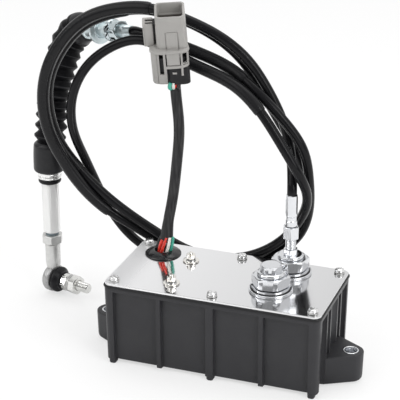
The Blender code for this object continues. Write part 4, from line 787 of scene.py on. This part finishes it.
for side, y in (("front", -26.5), ("back", 17.5)):
    place = upright(-37.5, y)
    washer = turned(f"wide_washer_{side}", [(2.2, 73.2), (6.7, 73.2), (6.7, 72.1), (2.2, 72.1)], place, closed=True, soft=0.3)
    dress(washer, "boltZinc", nodes=["motor_washer_" + side])
    splitWasher(f"spring_ring_{side}", 2.3, 4.15, 73.25, 74.3, place, 40, "zinc")
    # black disc between spring ring and bolt head: painted shade in the gap
    gap = turned(f"bolt_shade_gap_{side}", [(0, 74.75), (3.4, 74.75), (3.4, 74.2), (0, 74.2)], place, 40, soft=0.05)
    dress(gap, "black")
    head = hexNut(f"bolt_head_{side}", 7.2, 0, 74.7, 78.2, place, 20, 0.5, 0.1)
    w = 0.55
    cutter = stacked("slot", [(-w, -6), (w, -6), (w, 6), (-w, 6)], [(77.0, 0), (80, 0)], place @ Matrix.Rotation(math.radians(12), 4, "Z"))
    dress(carve(head, cutter), "boltZinc", nodes=["motor_screw_" + side])
    stub = turned(f"bolt_point_{side}", [(0, 80.0), (1.3, 80.0), (1.7, 79.5), (1.7, 77.1), (0, 77.1)], place, 32, soft=0.1)
    dress(stub, "boltZinc")
print("stage 4: lid and screws")

# Cable outlets
glands = {"front": (39.6, -10.4), "rear": (44.4, 25.6)}
for side, spot in glands.items():
    place = upright(*spot)
    wide = turned(f"wide_ring_{side}", [(8.3, 74.1), (16.9, 74.1), (17.3, 73.8), (17.3, 73.3), (16.8, 73.1), (16.8, 72.9), (17.5, 72.7), (17.5, 72.1), (8.3, 72.1)], place, 96, closed=True, soft=0.4)
    dress(wide, "zinc", nodes=[f"{side}_gland_washer_large"])
    splitWasher(f"spring_ring_gland_{side}", 9.2, 15.4, 74.45, 76.5, place, 200, "zinc").name = f"gland_spring_{side}"
    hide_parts(f"{side}_gland_washer_small")
    # thin black rings between the washers and the gland body: painted shade in the gaps
    for name, reach, low, high in (("upper", 13.3, 76.2, 76.95), ("lower", 16.3, 73.9, 74.5)):
        line = turned(f"gland_shade_line_{name}_{side}", [(8.5, high), (reach, high), (reach, low), (8.5, low)], place, 72, closed=True, soft=0.1)
        dress(line, "black")
    body = hexNut(f"gland_hex_{side}", 27, 5.6, 76.9, 85.6, place, 36.5 if side == "front" else 54, 0.6, 0.35)
    dress(body, "glandZinc", nodes=[f"{side}_gland_body"])

plugPlace = upright(*glands["front"])
flange = turned(
    "plug_flange",
    [(0, 88.9), (9.4, 88.9), (10.6, 88.3), (11.2, 87.2), (11.2, 86.2), (10.4, 85.7), (0, 85.7)],
    plugPlace, 72, soft=0.3,
)
dress(flange, "glandZinc", nodes=["front_gland_plug"])
plugHead = hexNut("plug_hex", 15.4, 0, 88.7, 94.0, plugPlace, 41, 0.45, 0.05)
dress(plugHead, "glandZinc")

rearPlace = upright(*glands["rear"])
collar = turned(
    "collar",
    [(0, 88.6), (6, 88.6), (9.2, 88.6), (10.2, 88.1), (10.5, 87.2), (10.5, 86.2), (9.8, 85.7), (0, 85.7)],
    rearPlace, 72, soft=0.3,
)
dress(collar, "glandZinc")
dress(hexNut("collar_hex", 10.6, 0, 88.5, 93.0, rearPlace, 10, 0.45, 0.05), "glandZinc")
threadSet = {"radius": 4.3, "pitch": 1.0, "depth": 0.45, "low": 92.6, "high": 104.0}


def threadProfile(radius, pitch, depth, low, high):
    profile = [(0, high), (radius - depth, high)]
    at = high
    while at - pitch > low:
        profile += [(radius - depth, at - 0.1 * pitch), (radius, at - 0.5 * pitch), (radius - depth, at - 0.9 * pitch)]
        at -= pitch
    return profile + [(radius - depth, low), (0, low)]


ts = threadSet
stem = turned("outlet_thread", threadProfile(ts["radius"], ts["pitch"], ts["depth"], ts["low"], ts["high"]), rearPlace, 56, soft=0)
dress(stem, "zinc", nodes=["rear_gland_collar"], sharp=60)
dress(hexNut("jam_nut", 12, 4.5, 102.2, 112.6, rearPlace, 15, 0.45, 0.45), "glandZinc", nodes=["cable_jam_nut"])
ferruleProfile = [
    (0, 139.5), (3.9, 139.5), (4.5, 139.0), (4.6, 137.5), (4.6, 121.5), (4.2, 120.8), (4.2, 117.8), (4.65, 117.2), (4.65, 113.2), (4.2, 112.5), (0, 112.5),
]


def crimped(angle, height):
    if not 122.5 < height < 136.8:
        return 1.0
    local = (angle + math.pi / 8) % (math.pi / 4) - math.pi / 8
    return 0.955 / math.cos(local)


fine = []
for first, second in zip(ferruleProfile, ferruleProfile[1:]):
    parts = max(1, int(abs(first[1] - second[1]) / 0.8))
    fine += [(first[0] + (second[0] - first[0]) * k / parts, first[1] + (second[1] - first[1]) * k / parts) for k in range(parts)]
fine.append(ferruleProfile[-1])
dress(turned("ferrule", fine, rearPlace, 64, soft=0, wave=crimped), "glandZinc", nodes=["cable_ferrule"], sharp=24)
print("stage 5: cable outlets")

# End hub of the cable
hubStart, hubEnd = Vector((-100.3, 53, 250.1)), Vector((-152.1, 80, 238.7))
hubPlace = along(hubStart, hubEnd - hubStart, (0, 0, 1))
hubLength = (hubEnd - hubStart).length
discHigh = hubLength - 15.8
discLow = discHigh - 3
barrel = turned(
    "hub_barrel",
    [
        (0, hubLength - 0.8), (8.0, hubLength - 0.8), (8.0, hubLength - 2.5), (6.5, hubLength - 3), (6.5, discHigh), (11.1, discHigh),
        (11.8, discHigh - 0.7), (11.8, discLow + 0.7), (11.2, discLow), (7.4, discLow), (7.2, discLow - 0.7), (6.4, discLow), (5.9, discLow + 0.5), (5.2, discLow + 0.4),
        (5.2, 26), (5, 8.8), (4.9, 8.5),
    ] + threadProfile(4.6, 1.1, 0.45, 0.6, 8.4)[2:],
    hubPlace, 72, soft=0.3,
)
dress(barrel, "hubZinc", nodes=["end_hub_body"], sharp=32)
wideNut = turned(
    "hub_wide_ring",
    [(5.2, 26.4), (9.2, 26.4), (9.6, 26), (9.6, 24.8), (8.6, 23.6), (7.8, 23.1), (5.2, 23)],
    hubPlace, 72, closed=True, soft=0.3,
)
dress(wideNut, "nutZinc", nodes=["end_hub_flange_nut"])
slimNut = hexNut("hub_slim_hex", 15.6, 5.2, 14, 23.2, hubPlace, 12, 0.1, 0.5)
dress(slimNut, "nutZinc", nodes=["end_hub_lock_nut"])
# black ring between the wide ring and the barrel: painted shade in the gap
hubShadeGap = turned("hub_shade_gap", [(5.2, 27.4), (7.4, 27.4), (7.4, 26.3), (5.2, 26.3)], hubPlace, 56, closed=True, soft=0.1)
dress(hubShadeGap, "black")

# Bellows, swept along the same bent line as the CAD
bootSet = {"topRadius": 14.7, "bottomRadius": 13.6, "startRadius": 9.2, "groove": 3.4, "folds": 11, "cuffRadius": 13.4, "cuffLength": 26.0}
bootRoute = [
    tuple(hubEnd), (-155.1, 81.6, 238.1), (-160, 83.2, 236.8), (-164.5, 83.5, 234), (-168.1, 82.6, 230.1),
    (-170.6, 81.4, 225.6), (-174.4, 77.4, 213.5), (-178.7, 71.5, 190.5), (-180.8, 67.2, 170.9),
    (-182.1, 64, 151.3), (-183.2, 61.5, 135), (-183.5, 61, 121.5), (-183.5, 61, 115.5),
]
bootLine = smoothPath(bootRoute, 900)
walked = np.r_[0, np.cumsum([(b - a).length for a, b in zip(bootLine, bootLine[1:])])] / mm
bootLength = walked[-1]
foldsEnd = bootLength - bootSet["cuffLength"]
pitch = (foldsEnd - 12) / bootSet["folds"]


def bootRadius(s):
    if s < 12:
        return bootSet["startRadius"] + (bootSet["topRadius"] - bootSet["startRadius"]) * math.sin(math.pi / 2 * min(1, (s + 1) / 11))
    if s < foldsEnd:
        fold = (s - 12) / pitch
        crest = bootSet["topRadius"] + (bootSet["bottomRadius"] - bootSet["topRadius"]) * fold / bootSet["folds"]
        phase = fold % 1.0
        ridge = 1 - abs(phase - 0.5) * 2
        groove = bootSet["groove"] * (0.42 + 0.58 * min(1, fold / 7))
        return crest - groove * (1 - min(1, ridge * 1.15) ** 1.3)
    inCuff = s - foldsEnd
    if inCuff < 4:
        return bootSet["bottomRadius"] - bootSet["groove"] + (bootSet["cuffRadius"] - bootSet["bottomRadius"] + bootSet["groove"]) * math.sin(math.pi / 2 * inCuff / 4)
    fromEnd = bootLength - s
    if fromEnd < 2.5:
        return bootSet["cuffRadius"] - 2.2 * (1 - math.sqrt(max(0, 1 - (1 - fromEnd / 2.5) ** 2)))
    return bootSet["cuffRadius"]


stations = sorted(set(np.round(np.r_[np.arange(0, bootLength, 0.75), np.linspace(0, 2, 6), np.linspace(bootLength - 3, bootLength, 8)], 3)))
walk = [(s, bootRadius(s)) for s in stations] + [(s, 7.8) for s in np.linspace(bootLength, 0, 24)]
points, faces = [], []
sides = 56
for s, radius in walk:
    spot = Vector([np.interp(s, walked, [p[k] for p in bootLine]) for k in range(3)])
    ahead = Vector([np.interp(min(s + 0.5, bootLength), walked, [p[k] for p in bootLine]) for k in range(3)])
    behind = Vector([np.interp(max(s - 0.5, 0), walked, [p[k] for p in bootLine]) for k in range(3)])
    direction = (ahead - behind).normalized()
    side = (Vector((0, 1, 0)) - direction * direction.y).normalized()
    other = direction.cross(side)
    for step in range(sides):
        angle = 2 * math.pi * step / sides
        points.append(spot + (side * math.cos(angle) + other * math.sin(angle)) * radius * mm)
for k in range(len(walk)):
    following = (k + 1) % len(walk)
    for i in range(sides):
        j = (i + 1) % sides
        faces.append((k * sides + i, k * sides + j, following * sides + j, following * sides + i))
boot = dress(meshPiece("bellows", points, faces), "bellows", None, ["bellows_boot"], 60)
boot.data.materials.append(paints["ridge"])
boot.data.materials.append(paints["cuff"])
line = np.array([tuple(p) for p in bootLine])
for face in boot.data.polygons:
    s = walked[np.argmin(np.linalg.norm(line - np.array(face.center), axis=1))]
    off = np.linalg.norm(line[np.argmin(np.linalg.norm(line - np.array(face.center), axis=1))] - np.array(face.center)) / mm
    # faces on the fold crests take the ridge paint, a painted highlight; both ends take the cuff paint
    if 12 < s < foldsEnd and abs((s - 12) / pitch % 1.0 - 0.5) < 0.06 and off > 9:
        face.material_index = 1
    elif s > foldsEnd + 1 or s < 9:
        face.material_index = 2
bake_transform(boot)
print("stage 6: hub and bellows")

# Rod below the bellows
rodPlace = upright(-183.5, 61)
rodPieces = [boot]
ring = turned("rod_ring", [(2.3, 115.2), (9.8, 115.2), (10.2, 114.8), (10.2, 112.4), (9.6, 112), (9.6, 111.7), (10.4, 111.3), (10.4, 109.8), (9.7, 109), (2.3, 109)], rodPlace, 96, closed=True, soft=0.15, wave=lambda angle, height: 1 + 0.018 * math.cos(6 * angle + 0.6))
rodPieces.append(dress(ring, "ringZinc", "pull_rod", ["boot_ring"]))
seal = turned("rod_seal", [(2.3, 108.7), (8.6, 108.7), (9.6, 107.9), (9.9, 106.7), (9.6, 105.4), (8.6, 104.7), (2.3, 104.7)], rodPlace, 64, closed=True, soft=0.4)
rodPieces.append(dress(seal, "rubber", "pull_rod", ["boot_seal"]))
coupling = hexNut("long_hex", 13.8, 2.5, 58.2, 104.4, rodPlace, 15, 0.35, 0.9)
rodPieces.append(dress(coupling, "paleZinc", "pull_rod", ["hex_coupling"]))
neckRing = turned("lock_thread", [(0, 60), (5.6, 60), (5.6, 53.8), (0, 53.8)], rodPlace, 40, soft=0.2)
rodPieces.append(dress(neckRing, "threadZinc", "pull_rod"))
lock = hexNut("lock_hex", 16.4, 5.2, 47.8, 55.6, rodPlace, 20, 0.5, 0.5)
rodPieces.append(dress(lock, "shankZinc", "pull_rod", ["lock_nut"]))
shank = turned(
    "eye_shank",
    [(0, 54), (4.6, 54), (4.6, 46.9), (6.6, 46.9), (6.5, 29), (6.0, 24.6), (5.2, 22.4), (0, 21.6)],
    rodPlace, 56, soft=0.4,
)
rodPieces.append(dress(shank, "shankZinc", "pull_rod", ["rod_end"]))
studPlace = along((-183.5, 61, 13), (0.962, -0.274, 0), (0, 0, 1))
eye = turned(
    "eye_ring",
    [(7.9, 2.8), (10.9, 2.8), (12, 1.8), (12, -2.8), (10.8, -4.6), (7.9, -5.0)],
    studPlace, 72, closed=True, soft=0.5,
)
rodPieces.append(dress(eye, "castZinc", "pull_rod"))
cap = turned(
    "cap_shell",
    [
        (4.8, 12), (7.4, 12), (8.0, 11.6), (8.2, 10.8), (8.0, 10.2), (10.8, 8.2), (11.4, 7.2), (11.4, 5.6),
        (10.8, 4.7), (9.2, 4.7), (9.4, 6.8), (7.0, 10.6), (4.8, 10.9),
    ],
    studPlace, 64, closed=True, soft=0.5,
)
rodPieces.append(dress(cap, "rubber", "cap", ["dust_cap"]))
lip = turned("cap_seat", [(0, 4.8), (8.4, 4.8), (8.8, 4.2), (8.8, 2.2), (0, 2.2)], studPlace, 48, soft=0.2)
rodPieces.append(dress(lip, "rubber", "pull_rod"))
ballProfile = [(0, 40), (3.6, 40), (4.3, 39.3)]
at = 38.9
while at > 22:
    ballProfile += [(4.4, at), (3.95, at - 0.55)]
    at -= 1.1
ballProfile += [(4.2, 21.6), (3.6, 14), (3.6, 7.2)]
ballProfile += [(7.2 * math.cos(a), 7.2 * math.sin(a)) for a in np.radians(np.linspace(60, -60, 12))]
ballProfile.append((0, -6.2))
stud = turned("stud_shaft", ballProfile, studPlace, 56, soft=0.12)
rodPieces.append(dress(stud, "studZinc", "stud", ["ball_stud"], 50))
rodPieces.append(dress(hexNut("stud_hex", 13.6, 3.5, 12.6, 18.1, studPlace, 0, 0.5, 0.3), "studZinc", "stud"))
rodPieces.append(dress(hexNut("stud_lock", 15.0, 4.5, 21.6, 28.6, studPlace, 17, 0.5, 0.5), "studZinc", "stud", ["stud_nut"]))
# thin black rings between the stud's nuts and washers: painted shade in the gaps
for name, reach, low in (("stud_shade_line_inner", 7.0, 12.1), ("stud_shade_line_middle", 7.0, 18.1), ("stud_shade_line_outer", 7.0, 21.2)):
    line = turned(name, [(4.6, low + 0.5), (reach, low + 0.5), (reach, low), (4.6, low)], studPlace, 40, closed=True, soft=0.05)
    rodPieces.append(dress(line, "black", "stud"))
for name, low in (("stud_spring_inner", 18.4), ("stud_spring_outer", 20.0)):
    coil = splitWasher(name, 4.6, 7.6, low + 0.15, low + 1.25, studPlace, 230, "dullZinc", "stud")
    rodPieces.append(coil)
print("stage 7: rod end")

# Wiring tail
loomRoute = [
    (-61.3, 24, 86), (-59.4, 24, 102.4), (-57.1, 24, 114.6), (-53.2, 23, 137.9), (-50.4, 22, 160.7),
    (-48.8, 21.5, 177.7), (-49.2, 21.8, 193), (-50.9, 22.2, 208), (-52.2, 22.3, 222.5),
]
loomPath = smoothPath(loomRoute, 120)
loom = tube("loom_sleeve", loomPath, 4.35, "loom", nodes=["wire_loom"], scaled=lambda s: 1.0 + 0.24 * max(0, 1 - s / 0.12))
wireSet = {
    "wire_red_1": ("red", (-3.2, -1.6), (-1.2, -3.2)), "wire_red_2": ("red", (-0.4, -2.8), (1.5, -4.0)),
    "wire_white": ("white", (3.6, -2.4), (4.2, -3.3)), "wire_green": ("green", (5.6, 0.2), (6.2, -1.4)),
}
for node, (paint, foot, head) in wireSet.items():
    low = Vector((-64.3 + foot[0], 23.7 + foot[1], 73.4))
    high = Vector((-61.3 + head[0], 24 + head[1], 88.4))
    bow = low.lerp(high, 0.5) + Vector((foot[0] * 0.16, -0.8, 0))
    tube(node + "_strand", smoothPath([low, bow, high], 16), 1.3, paint, 4, nodes=[node])
sheath = tube("loom_tail", smoothPath([(-69.0, 25.5, 73.6), (-68.2, 25.2, 80), (-64.1, 24.6, 88.5)], 14), 2.2, "loom", 4)

# Connector, in a frame of its own that leans towards the viewer
baseSpot = (-51.4, 20, 229.3)
conPlace = along(baseSpot, (0.09, -0.39, 0.92), (0.927, 0.376, 0))
con = {
    "halfX": 11.9, "halfY": 9.9, "taper": 0.6, "mouthX": 9.6, "mouthY": 7.9, "mouthDepth": 25.0, "length": 65.0,
    "left": 17.1, "right": 12.5, "depth": 11.4, "bulge": 1.2, "wall": 1.7, "ringLow": 32.0, "ringHigh": 34.8, "pinch": 3.2,
    "latchX": -17.3, "latchHalf": 3.9, "latchDepth": 4.3, "latchTop": 55.6,
}


def bowed(left, right, depth, bulge, radius=2.6, shoulder=3.2):
    points = []
    for x, y, start in ((right - radius - con["pinch"], depth - radius, 0), (-left + radius, depth - radius, 90)):
        for step in range(7):
            angle = math.radians(start + 15 * step)
            points.append((x + radius * math.cos(angle), y + radius * math.sin(angle)))
    for step in range(29):
        share = step / 28
        side = abs(2 * share - 1)
        rise = (1 - side**3.2) ** (1 / 2.2) if side < 1 else 0
        points.append((-left + (left + right) * share, -depth + shoulder - (shoulder + bulge) * rise))
    return points


shell = stacked("connector_body", roundRect(con["halfX"], con["halfY"], 3.6), [(29, 0), (60, con["taper"] * 0.9), (con["length"] - 0.4, con["taper"]), (con["length"], con["taper"] + 0.35)], conPlace)
cage = (con["left"] - 0.3, con["right"] - 0.3, con["depth"] - 0.3, con["bulge"])
parts = [
    (bowed(con["left"] + 0.3, con["right"] + 0.5, con["depth"] + 0.7, con["bulge"]), [(con["ringLow"], 0.4), (con["ringLow"] + 0.4, 0), (con["ringHigh"] - 0.5, 0), (con["ringHigh"], 0.5)]),
    (bowed(*cage), [(1, 0.4), (1.4, 0), (33, 0)]),
]
for outline, levels in parts:
    carve(shell, stacked("part", outline, levels, conPlace), "UNION")
wall = con["wall"]
carve(shell, stacked("inside", bowed(con["left"] - wall, con["right"] - wall, con["depth"] - wall, con["bulge"], 1.5), [(-1, 0), (26, 0)], conPlace))
mouthRim = con["length"]
carve(shell, stacked("mouth", roundRect(con["mouthX"], con["mouthY"], 2.4), [(mouthRim - con["mouthDepth"], 0), (mouthRim - 0.4, 0), (mouthRim + 0.1, -0.4), (mouthRim + 2, -0.4)], conPlace))
# Windows of the cage, then shallow grooves: left, right, low, high, depth cut from the front
for x0, x1, z0, z1, reach in (
    (-10.6, -7.4, 11.0, 31.2, 7.5), (7.4, 10.7, 21.2, 31.2, 7.5), (-5.3, 5.8, 19.3, 20.4, 3.4), (7.4, 20, 19.6, 20.4, 5.1),
    (-5.3, 5.8, -2, 16.7, 5.0), (7.4, 20, -2, 16.9, 5.2), (5.1, 8.1, -2.4, 9.0, 5.7),
    (-12.6, -12.0, -2, 31.4, 1.6), (-15.2, -14.6, -2, 31.4, 1.0), (-5.3, 5.8, 20.2, 31.4, 2.1), (-5.6, -5.0, 19.4, 31.7, 3.2), (5.4, 6.0, 19.4, 31.7, 3.2),
):
    front = -con["depth"] - con["bulge"]
    hole = [(x0, front - 2), (x1, front - 2), (x1, front + reach), (x0, front + reach)]
    carve(shell, stacked("window", hole, [(z0, 0), (z1, 0)], conPlace))
for x0, x1, z0, z1 in ((-4.7, -3.9, 34.4, 50.8), (4.7, 5.5, 34.4, 50.8), (-4.3, 5.1, 50.4, 50.9)):
    slot = [(x0, -12), (x1, -12), (x1, -con["halfY"] + 0.9), (x0, -con["halfY"] + 0.9)]
    carve(shell, stacked("groove", slot, [(z0, 0), (z1, 0)], conPlace))
soften = shell.modifiers.new("soften", "BEVEL")
soften.width = 0.25 * mm
soften.segments = 2
soften.angle_limit = math.radians(50)
dress(shell, "gray", nodes=["connector_shell"], sharp=50)
for name, outline, levels, paint in (
    ("inner_step", roundRect(8.7, 0.9, 0.2, shift=(0, con["mouthY"] - 0.7)), [(40.2, 0), (54.9, 0)], "ledge"),
    ("step_edge", roundRect(8.7, 0.95, 0.2, shift=(0, con["mouthY"] - 0.7)), [(54.9, 0), (55.6, 0)], "gray"),
    ("mouth_floor", roundRect(con["mouthX"], con["mouthY"], 2.4), [(39.6, 0), (40.2, 0)], "ledge"),
    ("panel_back", roundRect(4.9, 0.8, 0.2, shift=(0.25, -con["depth"] + 0.1)), [(20.2, 0), (31.8, 0)], "gray"),
    # black strip set into the gap between the latch arm and the body: painted shade
    ("latch_shade_gap", roundRect(1.2, 3.4, 0.3, shift=(-12.6, 0.9)), [(33.4, 0), (54.0, 0)], "black"),
):
    obj = stacked("connector_" + name, outline, levels, conPlace)
    dress(obj, paint)
coreOutline = bowed(con["left"] - 2, con["right"] - 1.6, con["depth"] - 2.4, con["bulge"], 1.2)
insert = stacked("connector_core", coreOutline, [(0.2, 0.5), (0.7, 0), (25.6, 0)], conPlace)
dress(insert, "black", nodes=["connector_insert"])
keeper = stacked("connector_keeper", bowed(4.8, 12.3, con["depth"] - 0.9, con["bulge"], 0.8, 1.6), [(-0.6, 0.4), (-0.2, 0), (15.6, 0), (16.1, 0.4)], conPlace)
dress(keeper, "black")
mark = stacked("connector_mark", roundRect(1.7, 0.3, 0.2, shift=(0.6, -con["depth"] - 0.45)), [(11.0, 0), (12.6, 0)], conPlace)
dress(mark, "gray")
latch = stacked("connector_arm", roundRect(con["latchHalf"], con["latchDepth"], 0.9, shift=(con["latchX"], 0)), [(33.8, 0.3), (34.3, 0), (con["latchTop"] - 0.5, 0), (con["latchTop"], 0.4)], conPlace)
for x0, x1, y0, y1, depth in ((-19.2, -12, -0.6, 1.6, 4.0), (-19.2, -12, -3.6, -1.8, 5.0)):
    # black blocks down inside the two slots of the arm: painted shade
    dark = [(x0 + 0.1, y0 + 0.1), (-13.5, y0 + 0.1), (-13.5, y1 - 0.1), (x0 + 0.1, y1 - 0.1)]
    dress(stacked(f"latch_slot_shade_{depth:.0f}", dark, [(con["latchTop"] - depth, 0), (con["latchTop"] - 1.0, 0)], conPlace), "black")
    slot = stacked("slot", [(x0, y0), (x1, y0), (x1, y1), (x0, y1)], [(con["latchTop"] - depth, 0), (70, 0)], conPlace)
    carve(latch, slot)
groove = stacked("slot", [(-20.2, -6), (-19.8, -6), (-19.8, -4), (-20.2, -4)], [(30, 0), (53, 0)], conPlace)
carve(latch, groove)
dress(latch, "gray", nodes=["connector_latch"])
tailWires = {
    "tail_green": ("green", (-3.4, -10.2), (-4.6, -3.0, -3.4), 1.5),
    "tail_white": ("white", (-0.9, -10.6), (-1.4, -2.6, -1.2), 1.25),
    "tail_red": ("red", (0.9, -10.0), (-0.4, -2.2, -1.0), 0.7),
    "tail_black": ("loom", (2.9, -9.8), (1.4, -2.8, -3.0), 1.5),
    "tail_dark": ("loom", (1.0, -7.4), (0.6, 0.6, -2.6), 1.4),
}
for name, (paint, spot, bulge, thick) in tailWires.items():
    start = conPlace @ (Vector((*spot, 1.4)) * mm)
    end = loomPath[-1] + Vector((spot[0] * 0.45, (spot[1] + 8) * 0.3, -5)) * mm
    bow = conPlace @ (Vector((spot[0] + bulge[0] * 0.5, spot[1] + bulge[1] * 0.5, bulge[2])) * mm)
    bow = bow.lerp(start.lerp(end, 0.5), 0.4)
    tube(name, smoothPath([start / mm, bow / mm, end / mm], 16), thick, paint, 4)
print("stage 8: wiring tail and connector")

# Pieces inside the housing keep their CAD shape
inner = {
    "gear_frame": "dullZinc", "drive_motor": "dullZinc", "motor_pinion": "brass", "idler_gear": "acetal",
    "idler_axle": "zinc", "output_gear": "acetal", "output_shaft": "zinc", "cable_drum": "acetal",
    "position_sensor": "black", "circuit_board": "board", "drum_wire": "zinc", "inner_rod": "zinc",
}
for node, paint in inner.items():
    repaint(node, paint)

# Bounds of all rendered pieces, without the floor
low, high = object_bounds()
